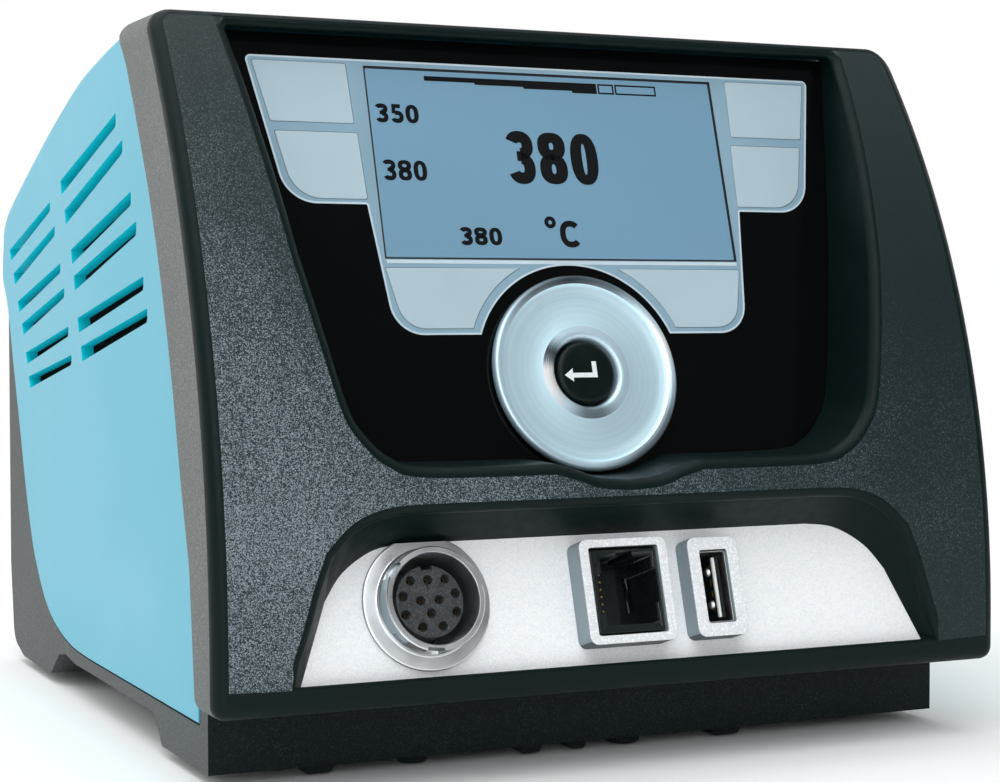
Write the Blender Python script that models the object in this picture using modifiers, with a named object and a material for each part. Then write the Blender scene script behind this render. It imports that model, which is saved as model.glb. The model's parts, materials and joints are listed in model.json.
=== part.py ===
"""Soldering iron station: a one-channel bench control unit.

Metres, +Z up, +Y to the rear, front towards -Y. The origin is on the floor
under the middle of the unit. Outlines are written in millimetres in a drawing
frame whose Y zero is the lower front edge of the bezel; Y_SHIFT moves them.
"""
import math

import bmesh
import bpy
from mathutils import Matrix, Vector

# ---------------------------------------------------------------- dimensions
MM = 0.001
Y_SHIFT = -82.88          # drawing frame to part frame
CLEAR = 0.3               # gap between neighbouring pieces

BEZEL_HALF = 75.5         # half width of the front bezel
BEZEL_TOP = 130.0
BEZEL_BOTTOM = 13.5
FRONT_R = 180.0           # radius of the bowed front
FRONT_Z = 21.0            # height at which the bow starts
SIDE_WALL = 3.1           # bezel side strip

COVER_HALF = 72.0
COVER_WALL = 2.5
BASE_HALF = 71.8
BASE_WALL = 3.0

LEAN = math.radians(17.04)          # lean of the glass and of the port plate
GLASS_AT = (0.0, 22.3, 74.1)        # a point of the glass front plane
PLATE_AT = (0.0, 1.5, 17.8)         # middle of the port plate's lower edge

WHEEL_T = -7.5            # wheel centre, up the slope from GLASS_AT
WHEEL_R = 18.1
BUTTON_R = 5.7
BUTTON_TRAVEL = 0.8
KEY_TRAVEL = 0.5

TOOL_X, TOOL_T = -37.0, 12.4
JACK_X, JACK_T = -1.1, 11.9
USB_X, USB_T = 16.8, 11.7

TOROID_AT = (0.0, 84.0)
TOROID_R, TOROID_HOLE, TOROID_H = 49.0, 19.0, 42.0

INLET_X, INLET_Z = 34.0, 44.0
SWITCH_X, SWITCH_Z = 2.0, 44.0
BOND_X, BOND_Z = -44.0, 36.0
PANEL_Y = (155.5, 157.5)

FOOT_X, FOOT_FRONT_Y, FOOT_REAR_Y, FOOT_R = 57.5, 28.4, 142.0, 6.0

# ---------------------------------------------------------------- clean start
for old in list(bpy.data.objects):
    bpy.data.objects.remove(old, do_unlink=True)
for group in (bpy.data.meshes, bpy.data.curves, bpy.data.materials):
    for block in list(group):
        group.remove(block)

scene = bpy.context.scene
parts = bpy.data.collections.new("soldering_station")
tools = bpy.data.collections.new("cutters")
scene.collection.children.link(parts)
scene.collection.children.link(tools)


# ---------------------------------------------------------------- materials
def material(name, colour, roughness, metallic=0.0):
    made = bpy.data.materials.new(name)
    made.use_nodes = True
    shader = made.node_tree.nodes["Principled BSDF"]
    shader.inputs["Base Color"].default_value = (*colour, 1.0)
    shader.inputs["Roughness"].default_value = roughness
    shader.inputs["Metallic"].default_value = metallic
    return made


BEZEL_MAT = material("bezel_plastic", (0.035, 0.043, 0.05), 0.45)
BASE_MAT = material("base_plastic", (0.05, 0.055, 0.056), 0.6)
COVER_MAT = material("cover_paint", (0.17, 0.55, 0.68), 0.4)
GLASS_MAT = material("panel_gloss", (0.006, 0.007, 0.009), 0.08)
KEY_MAT = material("key_pale", (0.55, 0.66, 0.75), 0.35)
LCD_MAT = material("lcd_face", (0.33, 0.48, 0.62), 0.25)
WHEEL_MAT = material("wheel_metal", (0.6, 0.67, 0.75), 0.25, 0.9)
BLACK_MAT = material("black_plastic", (0.012, 0.012, 0.014), 0.35)
SILVER_MAT = material("silver_paint", (0.75, 0.77, 0.8), 0.35, 0.3)
CHROME_MAT = material("bright_metal", (0.75, 0.76, 0.78), 0.18, 1.0)
GOLD_MAT = material("gold_contact", (0.8, 0.6, 0.25), 0.25, 1.0)
STEEL_MAT = material("zinc_steel", (0.6, 0.61, 0.62), 0.35, 1.0)
WHITE_MAT = material("white_plastic", (0.8, 0.8, 0.78), 0.4)
BOARD_MAT = material("board_green", (0.02, 0.16, 0.07), 0.45)
COPPER_MAT = material("winding", (0.45, 0.2, 0.07), 0.4, 0.6)
ALU_MAT = material("aluminium", (0.65, 0.66, 0.67), 0.35, 1.0)
RUBBER_MAT = material("rubber", (0.015, 0.015, 0.016), 0.85)
PANEL_MAT = material("rear_panel_paint", (0.045, 0.05, 0.053), 0.5)


# ---------------------------------------------------------------- helpers
def matrix_of(origin, ex, ey):
    """Local X and Y along ex and ey (unit, square), Z to their cross product."""
    ex, ey = Vector(ex), Vector(ey)
    placed = Matrix((ex, ey, ex.cross(ey))).transposed().to_4x4()
    placed.translation = Vector((origin[0], origin[1] + Y_SHIFT, origin[2])) * MM
    return placed


UP_SLOPE = (0.0, math.sin(LEAN), math.cos(LEAN))
NORMAL = Vector((0.0, -math.cos(LEAN), math.sin(LEAN)))
GLASS = matrix_of(GLASS_AT, (1, 0, 0), UP_SLOPE)     # local x, up the slope, out
PLATE = matrix_of(PLATE_AT, (1, 0, 0), UP_SLOPE)
SIDE = matrix_of((0, 0, 0), (0, 1, 0), (0, 0, 1))    # local (y, z), Z along +X
FACE = matrix_of((0, 0, 0), (1, 0, 0), (0, 0, 1))    # local (x, z), Z along -Y
FLOOR = matrix_of((0, 0, 0), (1, 0, 0), (0, 1, 0))   # local (x, y), Z up


def finish(obj, mat, smooth=35.0):
    obj.data.materials.clear()
    obj.data.materials.append(mat)
    obj.data.shade_smooth()
    obj.data.set_sharp_from_angle(angle=math.radians(smooth))
    return obj


def place(name, mesh, matrix, mat):
    obj = bpy.data.objects.new(name, mesh)
    obj.matrix_world = matrix
    if mat is None:
        tools.objects.link(obj)
        obj.display_type = "WIRE"
        obj.hide_render = True
    else:
        parts.objects.link(obj)
        finish(obj, mat)
    return obj


def outline(name, points, low, high, matrix, mat, rounded=None):
    """A flat outline in mm, filled and given thickness from low to high along local Z.

    rounded is (test, width in mm, segments): the cap edges whose middle passes
    the test are bevelled.
    """
    curve = bpy.data.curves.new(name, "CURVE")
    curve.dimensions = "2D"
    curve.fill_mode = "BOTH"
    curve.extrude = (high - low) / 2 * MM
    spline = curve.splines.new("POLY")
    spline.points.add(len(points) - 1)
    for point, (u, v) in zip(spline.points, points):
        point.co = (u * MM, v * MM, 0.0, 1.0)
    spline.use_cyclic_u = True
    guide = bpy.data.objects.new(name + "_curve", curve)
    tools.objects.link(guide)
    bpy.context.view_layer.update()
    graph = bpy.context.evaluated_depsgraph_get()
    mesh = bpy.data.meshes.new_from_object(guide.evaluated_get(graph))
    bpy.data.objects.remove(guide, do_unlink=True)
    work = bmesh.new()
    work.from_mesh(mesh)
    bmesh.ops.remove_doubles(work, verts=work.verts, dist=1e-6)
    bmesh.ops.recalc_face_normals(work, faces=work.faces)
    flat = [e for e in work.edges if len(e.link_faces) == 2 and e.calc_face_angle() < 1e-4]
    bmesh.ops.dissolve_edges(work, edges=flat, use_verts=False)
    bmesh.ops.translate(work, verts=work.verts, vec=(0, 0, (high + low) / 2 * MM))
    if rounded:
        test, width, segments = rounded
        chosen = []
        for edge in work.edges:
            a, b = (v.co / MM for v in edge.verts)
            same_cap = abs(a.z - b.z) < 1e-3
            middle = (a + b) / 2
            corner = len(edge.link_faces) == 2 and edge.calc_face_angle() > 0.8
            if same_cap and corner and test(middle.x, middle.y, middle.z):
                chosen.append(edge)
        bmesh.ops.bevel(work, geom=chosen, offset=width * MM, segments=segments,
                        profile=0.5, affect="EDGES", clamp_overlap=True)
        bmesh.ops.remove_doubles(work, verts=work.verts, dist=2e-5)
        bmesh.ops.dissolve_degenerate(work, edges=work.edges, dist=1e-5)
        bmesh.ops.triangulate(work, faces=[f for f in work.faces if len(f.verts) > 4])
    work.to_mesh(mesh)
    work.free()
    mesh.name = name
    return place(name, mesh, matrix, mat)


def lathe(name, profile, matrix, mat, steps=24):
    """A turned piece: profile is (radius, height) in mm, closed, top to bottom."""
    mesh = bpy.data.meshes.new(name)
    work = bmesh.new()
    points = [work.verts.new((r * MM, 0.0, h * MM)) for r, h in profile]
    closed = profile[0][0] > 1e-6 and profile[-1][0] > 1e-6
    for a, b in zip(points, points[1:]):
        work.edges.new((a, b))
    if closed:
        work.edges.new((points[-1], points[0]))
    work.to_mesh(mesh)
    work.free()
    obj = place(name, mesh, matrix, mat)
    screw = obj.modifiers.new("turn", "SCREW")
    screw.axis = "Z"
    screw.angle = math.tau
    screw.steps = steps
    screw.render_steps = steps
    screw.use_merge_vertices = True
    screw.merge_threshold = 1e-5
    screw.use_smooth_shade = True
    return obj


def box(name, low, high, matrix, mat, bevel=0.0):
    """A box primitive between two corners in mm, in the local frame of matrix."""
    mesh = bpy.data.meshes.new(name)
    work = bmesh.new()
    size = [(b - a) * MM for a, b in zip(low, high)]
    middle = Vector([(b + a) / 2 * MM for a, b in zip(low, high)])
    bmesh.ops.create_cube(work, size=1.0)
    bmesh.ops.scale(work, vec=size, verts=work.verts)
    bmesh.ops.translate(work, vec=middle, verts=work.verts)
    if bevel:
        bmesh.ops.bevel(work, geom=list(work.edges), offset=bevel * MM, segments=1,
                        profile=0.5, affect="EDGES")
    work.to_mesh(mesh)
    work.free()
    return place(name, mesh, matrix, mat)


def drum(name, radius, low, high, centre, matrix, mat, sides=24):
    """A cylinder primitive about the local Z axis through centre (mm)."""
    mesh = bpy.data.meshes.new(name)
    work = bmesh.new()
    bmesh.ops.create_cone(work, cap_ends=True, segments=sides, radius1=radius * MM,
                          radius2=radius * MM, depth=(high - low) * MM)
    bmesh.ops.translate(work, verts=work.verts,
                        vec=(centre[0] * MM, centre[1] * MM, (high + low) / 2 * MM))
    work.to_mesh(mesh)
    work.free()
    return place(name, mesh, matrix, mat)


def cut(obj, cutter, how="DIFFERENCE"):
    step = obj.modifiers.new(cutter.name, "BOOLEAN")
    step.operation = how
    step.solver = "EXACT"
    step.object = cutter
    return obj


def mirrored(points):
    """The left half of a symmetric outline added to its right half, in order."""
    left = [(-u, v) for u, v in reversed(points) if abs(u) > 1e-6]
    return list(points) + left


def smooth_line(points, steps=3):
    """Catmull-Rom points through the given ones, ends kept."""
    made = []
    padded = [points[0]] + list(points) + [points[-1]]
    for i in range(1, len(padded) - 2):
        p0, p1, p2, p3 = padded[i - 1:i + 3]
        for k in range(steps):
            t = k / steps
            made.append(tuple(
                0.5 * (2 * b + (c - a) * t + (2 * a - 5 * b + 4 * c - d) * t * t
                       + (3 * b - a - 3 * c + d) * t ** 3)
                for a, b, c, d in zip(p0, p1, p2, p3)))
    made.append(points[-1])
    return made


def fillet(points, radii, segments=3):
    """A closed polygon with its corners rounded; radii is one number or a list."""
    made = []
    count = len(points)
    for i, corner in enumerate(points):
        radius = radii[i] if isinstance(radii, (list, tuple)) else radii
        here = Vector(corner)
        a = Vector(points[i - 1]) - here
        b = Vector(points[(i + 1) % count]) - here
        if radius <= 0:
            made.append(tuple(here))
            continue
        half = a.angle(b) / 2
        reach = min(radius / math.tan(half), a.length * 0.49, b.length * 0.49)
        radius = reach * math.tan(half)
        start, end = here + a.normalized() * reach, here + b.normalized() * reach
        middle = here + (a.normalized() + b.normalized()).normalized() * (radius / math.sin(half))
        first, last = start - middle, end - middle
        sweep = first.angle_signed(last)
        for k in range(segments + 1):
            turn = -sweep * k / segments
            spun = Vector((first.x * math.cos(turn) - first.y * math.sin(turn),
                           first.x * math.sin(turn) + first.y * math.cos(turn)))
            made.append(tuple(middle + spun))
    return made


def ring(radius, count, centre=(0.0, 0.0), start=0.0, end=math.tau):
    full = abs(end - start - math.tau) < 1e-9
    steps = count if full else count - 1
    return [(centre[0] + radius * math.cos(start + (end - start) * k / steps),
             centre[1] + radius * math.sin(start + (end - start) * k / steps))
            for k in range(count)]


def front_y(z):
    """The bowed front surface of the bezel."""
    rise = max(z, FRONT_Z) - FRONT_Z
    return -0.9 + FRONT_R - math.sqrt(FRONT_R ** 2 - rise ** 2)


def glass_y(z, out=0.0):
    return GLASS_AT[1] + (z - GLASS_AT[2]) * math.tan(LEAN) - out / math.cos(LEAN)


def plate_y(z, out=0.0):
    return PLATE_AT[1] + (z - PLATE_AT[2]) * math.tan(LEAN) - out / math.cos(LEAN)


def shifted(matrix, x=0.0, y=0.0, z=0.0):
    return matrix @ Matrix.Translation(Vector((x, y, z)) * MM)


# ---------------------------------------------------------------- front bezel
arc = [(front_y(z), z) for z in (15.6, 21, 33, 45, 57, 69, 81, 93, 105, 117, 127.6)]
bezel_rear = [(54.7, 127.5), (49.3, 122), (43.6, 113.2), (39.3, 106), (35.1, 98.9),
              (31, 90.3), (28.1, 83.7), (24.2, 73.6), (20.9, 63.7), (18.2, 54),
              (16.2, 47.5), (12.6, 36.9), (11.3, 26.2), (9.9, 14.6)]
bezel_side = (arc + [(35.5, 129.4), (37.5, BEZEL_TOP), (54.7, BEZEL_TOP)]
              + bezel_rear + [(8.9, BEZEL_BOTTOM), (1.3, BEZEL_BOTTOM), (-0.2, 14.2)])


def front_rim(u, v, w):
    """Cap edges on the front bow, its rolled lip and the front of the top."""
    return (u < front_y(max(v, 15.6)) + 0.35 and v > 14.3) or (v > 128.0 and u < 50.0)


bezel = outline("front_bezel", bezel_side, -BEZEL_HALF, BEZEL_HALF, SIDE, BEZEL_MAT,
                rounded=(front_rim, 2.4, 2))

hollow = [(plate_y(16.2, CLEAR), 16.2), (plate_y(43.5, CLEAR), 43.5), (glass_y(47.0, CLEAR), 47.0),
          (glass_y(127.2, CLEAR), 127.2), (90.0, 127.2), (90.0, 16.2)]
cut(bezel, outline("bezel_hollow", hollow, -(BEZEL_HALF - SIDE_WALL), BEZEL_HALF - SIDE_WALL, SIDE, None))

opening_right = smooth_line([(0, 49.4), (5.6, 49.9), (9.8, 51.3), (14.0, 52.5)], 2) + smooth_line(
    [(37.4, 52.7), (43.8, 54.4), (48.0, 58.2), (50.6, 63.0)], 2) + [(53.6, 75.5), (56.2, 88.0), (59.2, 107.9), (61.0, 121.0)] + [
    (62.0, 127.6)]
opening = mirrored(opening_right)
cut(bezel, outline("display_opening", opening, -40.0, 15.0, FACE, None))

plate_right = [(60.3, 0.0)] + smooth_line([(54.7, 13.7), (51.1, 18.3), (45.3, 21.8), (39.1, 22.7)], 2)


def recess_cutter(name):
    """A loft from the plate's outline out to a larger one in front of the bezel."""
    seat = mirrored(plate_right)
    reach = 14.0
    mesh = bpy.data.meshes.new(name)
    work = bmesh.new()
    rings = []
    for out in (-1.2, reach):
        grow = max(out, 0.0) / reach
        points = []
        for u, v in seat:
            x = u * (1 + 0.1 * grow)
            t = v + 4.9 * grow * v / 22.7 - (math.tan(LEAN) * out if v < 0.01 else 0.0)
            points.append(work.verts.new((x * MM, t * MM, out * MM)))
        rings.append(points)
    low, high = rings
    for i in range(len(low)):
        j = (i + 1) % len(low)
        work.faces.new((low[i], low[j], high[j], high[i]))
    work.faces.new(list(reversed(low)))
    work.faces.new(high)
    bmesh.ops.recalc_face_normals(work, faces=work.faces)
    bmesh.ops.triangulate(work, faces=work.faces)
    work.to_mesh(mesh)
    work.free()
    return place(name, mesh, PLATE, None)


cut(bezel, recess_cutter("port_recess"))
cut(bezel, box("bezel_sill", (-69.0, 5.0, 13.7), (69.0, 18.7, 15.9), FLOOR, None), "UNION")

# ---------------------------------------------------------------- control panel
WHEEL = shifted(GLASS, 0, WHEEL_T, 0)
panel_edge = fillet([(-67.0, 54.6), (-66.0, 10.0), (-57.0, -22.0), (-51.0, -27.6), (51.0, -27.6),
                     (57.0, -22.0), (66.0, 10.0), (67.0, 54.6)], 2.0, 1)
fascia = outline("control_panel", panel_edge, -2.0, 0.0, GLASS, GLASS_MAT)

key_upper = [(38.9, 50.3), (56.5, 50.3), (54.1, 38.9), (38.5, 38.9)]
key_lower = fillet([(38.1, 37.2), (53.6, 37.2), (51.0, 24.8), (37.6, 24.8)], [0, 0, 6.0, 0], 4)
arch_r = 22.1
arch_a = math.acos(9.8 / arch_r)
arch_b = math.asin(8.6 / arch_r)
arch = ring(arch_r, 6, (0.0, WHEEL_T), arch_b, arch_a)
key_bottom = fillet([(9.9, 12.3)] + list(reversed(arch[:-1])) + [(33.4, 1.1), (35.8, 12.3)],
                    [0] * 6 + [5.0, 0], 4)
keys = {"key_upper": key_upper, "key_lower": key_lower, "key_bottom": key_bottom}


def grown(points, by):
    """A convex-enough outline moved outwards by a distance."""
    made = []
    count = len(points)
    area = sum(points[i][0] * points[(i + 1) % count][1] - points[(i + 1) % count][0] * points[i][1]
               for i in range(count))
    turn = 1.0 if area > 0 else -1.0
    for i in range(count):
        here = Vector(points[i])
        a = (here - Vector(points[i - 1])).normalized()
        b = (Vector(points[(i + 1) % count]) - here).normalized()
        na, nb = Vector((a.y, -a.x)) * turn, Vector((b.y, -b.x)) * turn
        bisect = (na + nb).normalized()
        made.append(tuple(here + bisect * (by / max(bisect.dot(na), 0.5))))
    return made


for side, sign in (("right", 1.0), ("left", -1.0)):
    for stem, shape in keys.items():
        points = [(u * sign, v) for u, v in shape]
        outline(f"{stem}_{side}", points, -1.5, 0.25, GLASS, KEY_MAT)
        cut(fascia, outline(f"{stem}_{side}_pocket", grown(points, CLEAR), -3.0, 1.0, GLASS, None))
window = [(-35.6, 13.9), (35.6, 13.9), (35.6, 50.1), (-35.6, 50.1)]
cut(fascia, outline("lcd_window", window, -3.0, 1.0, GLASS, None))
cut(fascia, drum("wheel_hole", 8.5, -3.0, 1.0, (0, 0), WHEEL, None, 32))
box("lcd_module", (-35.2, 14.3, -5.5), (35.2, 49.7, -0.15), GLASS, LCD_MAT)

lathe("click_wheel",
      [(WHEEL_R, 1.6), (WHEEL_R, 0.4), (8.0, 0.4), (8.0, -4.0), (6.25, -4.0), (6.25, 1.5),
       (6.8, 1.9), (8.4, 1.8), (11.0, 1.15), (14.0, 1.25), (16.0, 1.9), (17.5, 2.1)],
      WHEEL, WHEEL_MAT, 36)
lathe("enter_button",
      [(0, 2.0), (4.8, 2.0), (BUTTON_R, 1.5), (BUTTON_R, -0.8), (2.5, -0.8), (2.5, -9.0), (0, -9.0)],
      WHEEL, BLACK_MAT, 24)
encoder = box("wheel_encoder", (-9.0, -9.0, -7.7), (9.0, 9.0, -4.6), WHEEL, BLACK_MAT)
cut(encoder, drum("encoder_neck", 5.7, -6.0, -2.4, (0, 0), WHEEL, None), "UNION")
cut(encoder, drum("encoder_bore", 2.9, -9.0, 1.0, (0, 0), WHEEL, None, 16))
display_board = box("display_board", (-62.0, -24.0, -9.7), (62.0, 52.0, -8.1), GLASS, BOARD_MAT)
cut(display_board, drum("board_bore", 4.0, -12.0, -6.0, (0, 0), WHEEL, None, 16))

# ---------------------------------------------------------------- port plate
plate_edge = mirrored([(61.6, -0.9)] + [(57.3, 14.6)] + fillet(
    [(57.3, 14.6), (54.0, 24.9), (38.0, 24.9)], [0, 6.0, 0], 3)[1:-1] + [(38.0, 24.9)])
port_plate = outline("port_plate", plate_edge, -2.0, 0.0, PLATE, SILVER_MAT)


def rounded_box(x, t, half_x, half_t, radius, segments=2):
    return fillet([(x - half_x, t - half_t), (x + half_x, t - half_t),
                   (x + half_x, t + half_t), (x - half_x, t + half_t)], radius, segments)


for stem, x, t, half_x, half_t, tall in (("data", JACK_X, JACK_T, 8.5, 9.1, 4.9),
                                         ("usb", USB_X, USB_T, 5.05, 8.8, 4.4)):
    cut(port_plate, outline(f"{stem}_frame", rounded_box(x, t, half_x, half_t, 1.5), -1.0, tall, PLATE, None),
        "UNION")
cut(port_plate, outline("data_opening", rounded_box(JACK_X, JACK_T, 6.7, 7.6, 0.6, 1), -5.0, 8.0, PLATE, None))
cut(port_plate, outline("usb_opening", rounded_box(USB_X, USB_T, 3.2, 6.9, 0.5, 1), -5.0, 8.0, PLATE, None))
cut(port_plate, drum("tool_hole", 8.9, -5.0, 3.0, (TOOL_X, TOOL_T), PLATE, None, 32))

# ---------------------------------------------------------------- tool socket
TOOL = shifted(PLATE, TOOL_X, TOOL_T, 0)
shell = lathe("tool_socket_shell",
              [(8.8, 5.1), (8.8, 1.5), (11.4, 1.1), (11.4, 0.3), (8.6, 0.3), (8.6, -15.0),
               (3.5, -15.0), (3.5, -13.0), (7.65, -13.0), (7.65, 4.7), (8.1, 5.1)],
              TOOL, CHROME_MAT, 32)
cut(shell, box("flange_flat", (-12.0, 10.2, 0.0), (12.0, 14.0, 6.0), TOOL, None))
for i, angle in enumerate((-90.0, 30.0, 150.0)):
    turned = TOOL @ Matrix.Rotation(math.radians(angle), 4, "Z")
    cut(shell, box(f"bayonet_notch_{i}", (7.0, -1.0, 2.6), (10.4, 1.0, 6.0), turned, None))
insert = lathe("tool_socket_insert",
               [(0, 2.2), (5.85, 2.2), (6.15, 1.9), (6.15, -10.0), (7.35, -10.0), (7.35, -12.6), (0, -12.6)],
               TOOL, BLACK_MAT, 24)
contact_holes = [(-3.1, 3.6), (0.0, 3.6), (3.1, 3.6), (-4.7, 1.1), (-1.7, 0.2), (1.7, 0.2), (4.7, 1.1),
                 (-4.6, -2.0), (0.0, -2.0), (4.6, -2.0), (-1.8, -4.2), (1.8, -4.2)]
for i, (u, v) in enumerate(contact_holes):
    cut(insert, drum(f"contact_hole_{i}", 0.65, -4.0, 3.0, (u, v), TOOL, None, 8))
cut(insert, box("polarising_key", (-1.0, 5.3, -11.0), (1.0, 8.0, 3.2), TOOL, None))
nut = outline("tool_socket_nut", ring(12.4, 6, (0, 0)), -4.8, -2.3, TOOL, STEEL_MAT)
cut(nut, drum("nut_bore", 8.95, -6.0, 0.0, (0, 0), TOOL, None, 32))

# ---------------------------------------------------------------- data jack and USB socket
jack = outline("data_jack", rounded_box(JACK_X, JACK_T, 6.35, 7.25, 0.4, 1), -12.0, 4.3, PLATE, BLACK_MAT)
cut(jack, outline("jack_mouth", rounded_box(JACK_X + 0.3, JACK_T, 4.9, 5.9, 0.3, 1), -9.5, 6.0, PLATE, None))
cut(jack, outline("jack_latch", rounded_box(JACK_X + 5.0, JACK_T + 0.6, 1.0, 3.1, 0.2, 1), -7.0, 6.0, PLATE, None))
comb = box("data_jack_contacts", (JACK_X - 4.1, JACK_T - 4.2, -9.1), (JACK_X - 2.9, JACK_T + 4.2, -7.9),
           PLATE, GOLD_MAT)
for i in range(6):
    at = JACK_T - 3.6 + 1.44 * i
    cut(comb, box(f"jack_wire_{i}", (JACK_X - 3.9, at - 0.22, -8.4), (JACK_X - 3.4, at + 0.22, 0.5), PLATE, None),
        "UNION")
usb = outline("usb_shell", rounded_box(USB_X, USB_T, 2.85, 6.55, 0.6, 1), -12.0, 3.9, PLATE, STEEL_MAT)
cut(usb, outline("usb_mouth", rounded_box(USB_X, USB_T, 2.5, 6.2, 0.4, 1), -11.2, 6.0, PLATE, None))
box("usb_tongue", (USB_X + 0.3, USB_T - 5.5, -10.8), (USB_X + 2.1, USB_T + 5.5, 2.6), PLATE, WHITE_MAT)
box("port_board", (JACK_X - 12.0, 5.4, -14.0), (USB_X + 7.0, 23.0, -12.4), PLATE, BOARD_MAT)

# ---------------------------------------------------------------- hood cover
slant = [(167.4, 85.4), (162.3, 78.3), (157.6, 66.8), (151.3, 52.2), (146, 39.5), (141.6, 30.9),
         (137.3, 24.7), (128.7, 17.1), (119.4, 13.0), (106.4, 10.5), (92.6, 9.9)]
crown = [(55.2, 126.8), (55.2, 129.3), (67.8, 128.2), (83, 125.9), (98.2, 122.9), (120.9, 116), (144.1, 107.8),
         (159.5, 101.9), (164.4, 99.2), (167.3, 96.0), (168.2, 91.9)]
cover_front = [(10.3, BEZEL_BOTTOM), (10.3, 16.5), (8.6, 16.7), (9.4, 26.2), (10.8, 36.9),
               (14.4, 47.6), (17.0, 54), (19.5, 63.7), (22.6, 73.6), (26.0, 83.7), (29.2, 90.3),
               (33.2, 98.9), (37.4, 106), (41.6, 113.2), (44.6, 120.0), (46.6, 126.5)]
cover_side = (cover_front + crown + slant
              + [(19.1, 9.9), (19.1, BEZEL_BOTTOM)])


def crown_rim(u, v, w):
    """Cap edges along the top and round the rear corner."""
    return (u > 56.0 and v > 100.0) or (u > 163.0 and v > 84.0)


cover = outline("hood_cover", cover_side, -COVER_HALF, COVER_HALF, SIDE, COVER_MAT,
                rounded=(crown_rim, 1.2, 2))
inner_crown = [(30.0, 124.3), (56.0, 124.3), (56.5, 126.6), (67.6, 125.7), (82.6, 123.4), (97.6, 120.4), (120, 113.6),
               (143.3, 105.4), (158.5, 99.6), (162.7, 97.2), (165.0, 94.6), (165.7, 91.7), (165.2, 87.6),
               (175.0, 87.6), (175.0, 2.0), (0.0, 2.0), (0.0, 100.0)]
cut(cover, outline("cover_hollow", inner_crown, -(COVER_HALF - COVER_WALL), COVER_HALF - COVER_WALL, SIDE, None))

# Vent slots: (y, z) of the upper edge's rear and front ends, and the slot's height.
front_column = [(112.2, 104.4, 68.8, 114.8), (108.8, 98.3, 64.3, 109.6), (103.8, 90.3, 58.7, 99.9),
                (101.7, 85.0, 55.3, 94.4), (98.8, 76.7, 50.8, 84.5), (96.3, 71.1, 48.4, 78.8)]
rear_column = [(160.0, 91.4, 121.2, 100.6), (156.3, 86.1, 117.2, 95.5), (152.2, 80.0, 112.7, 87.8),
               (148.4, 75.1, 109.5, 82.8), (144.8, 68.9, 106.3, 75.0), (142.2, 63.8, 104.0, 69.3)]
for column, (height, lean) in ((front_column, (2.9, 0.9)), (rear_column, (2.4, 1.5))):
    for i, (y1, z1, y0, z0) in enumerate(column):
        shape = [(y0, z0), (y0 + 0.1, z0 - height + 0.4), (y1 - lean, z1 - height), (y1, z1)]
        stem = "front" if column is front_column else "rear"
        cut(cover, outline(f"vent_{stem}_{i}", shape, -90.0, 90.0, SIDE, None))

# ---------------------------------------------------------------- lower housing
under_cover = [(162.0, 80.6), (161.7, 78.0), (157.1, 66.8), (150.8, 52.2), (145.5, 39.6), (141.1, 31.1),
               (136.9, 25.0), (128.4, 16.7), (119.2, 12.6), (106.3, 10.1), (92.6, 9.5)]
# the slanted edge of the cheeks lies just outside the cover's slanted edge
cheek_edge = [(166.0, 84.0)] + [(u + 0.45, v - 0.3) for u, v in slant[1:]]
base_side = ([(14.5, 2.0), (41.7, 2.0), (46.5, 7.1), (104.0, 7.1), (112.0, 8.0), (117.5, 7.0), (125.0, 2.0),
              (150.0, 2.0)] + [(156.2, 3.6), (159.8, 8.0), (161.2, 14.0), (162.3, 21.8), (162.3, 77.0)]
             + [(u, v) for u, v in cheek_edge if u < 162.2] + [(19.0, 9.5), (18.8, 13.1), (14.5, 13.1)])
base = outline("lower_housing", base_side, -BASE_HALF, BASE_HALF, SIDE, BASE_MAT)
base_hollow = [(17.5, 4.5), (42.5, 4.5), (46.0, 9.4), (122.0, 9.4), (127.5, 4.5), (150.0, 4.5), (159.0, 9.0),
               (159.3, 20.0), (175.0, 20.0), (175.0, 120.0), (17.5, 120.0)]
cut(base, outline("base_hollow", base_hollow, -(BASE_HALF - BASE_WALL), BASE_HALF - BASE_WALL, SIDE, None))
for i, (x0, x1, y0, y1) in enumerate(((-55.4, -49.2, 15.6, 22.0), (-15.2, -10.0, 15.6, 21.0),
                                      (-5.6, -1.2, 15.6, 21.0), (23.6, 30.6, 15.6, 22.0))):
    lug = outline(f"under_lug_{i}", [(x0, 2.6), (x0 + 1.2, 0.5), (x1 - 0.6, 0.5), (x1, 2.6)], 0.0, y1 - y0,
                  shifted(FACE, 0, 0, -y1), None)
    cut(base, lug, "UNION")
for i, (x, radius) in enumerate(((-34.0, 2.7), (7.3, 3.2))):
    cut(base, drum(f"under_stud_{i}", radius, 0.5, 2.8, (x, 18.8), FLOOR, None, 16), "UNION")

screw_spots = {"front_left": (-40.0, 33.0), "front_right": (40.0, 33.0),
               "rear_left": (-40.0, 142.0), "rear_right": (40.0, 142.0)}
for stem, (x, y) in screw_spots.items():
    cut(base, drum(f"counterbore_{stem}", 3.7, 1.0, 3.6, (x, y), FLOOR, None, 16))
    cut(base, drum(f"clearance_{stem}", 1.9, 1.0, 6.0, (x, y), FLOOR, None, 12))
    lathe(f"base_screw_{stem}", [(1.5, 12.0), (1.5, 3.9), (0, 3.9)], shifted(FLOOR, x, y, 0), None)
for stem, (x, y) in screw_spots.items():
    bpy.data.objects.remove(bpy.data.objects[f"base_screw_{stem}"], do_unlink=True)
    lathe(f"base_screw_{stem}",
          [(0, 12.0), (1.5, 12.0), (1.5, 3.3), (3.3, 3.3), (3.3, 2.3), (2.8, 2.0), (0, 2.0)],
          shifted(FLOOR, x, y, 0), STEEL_MAT, 12)

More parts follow.
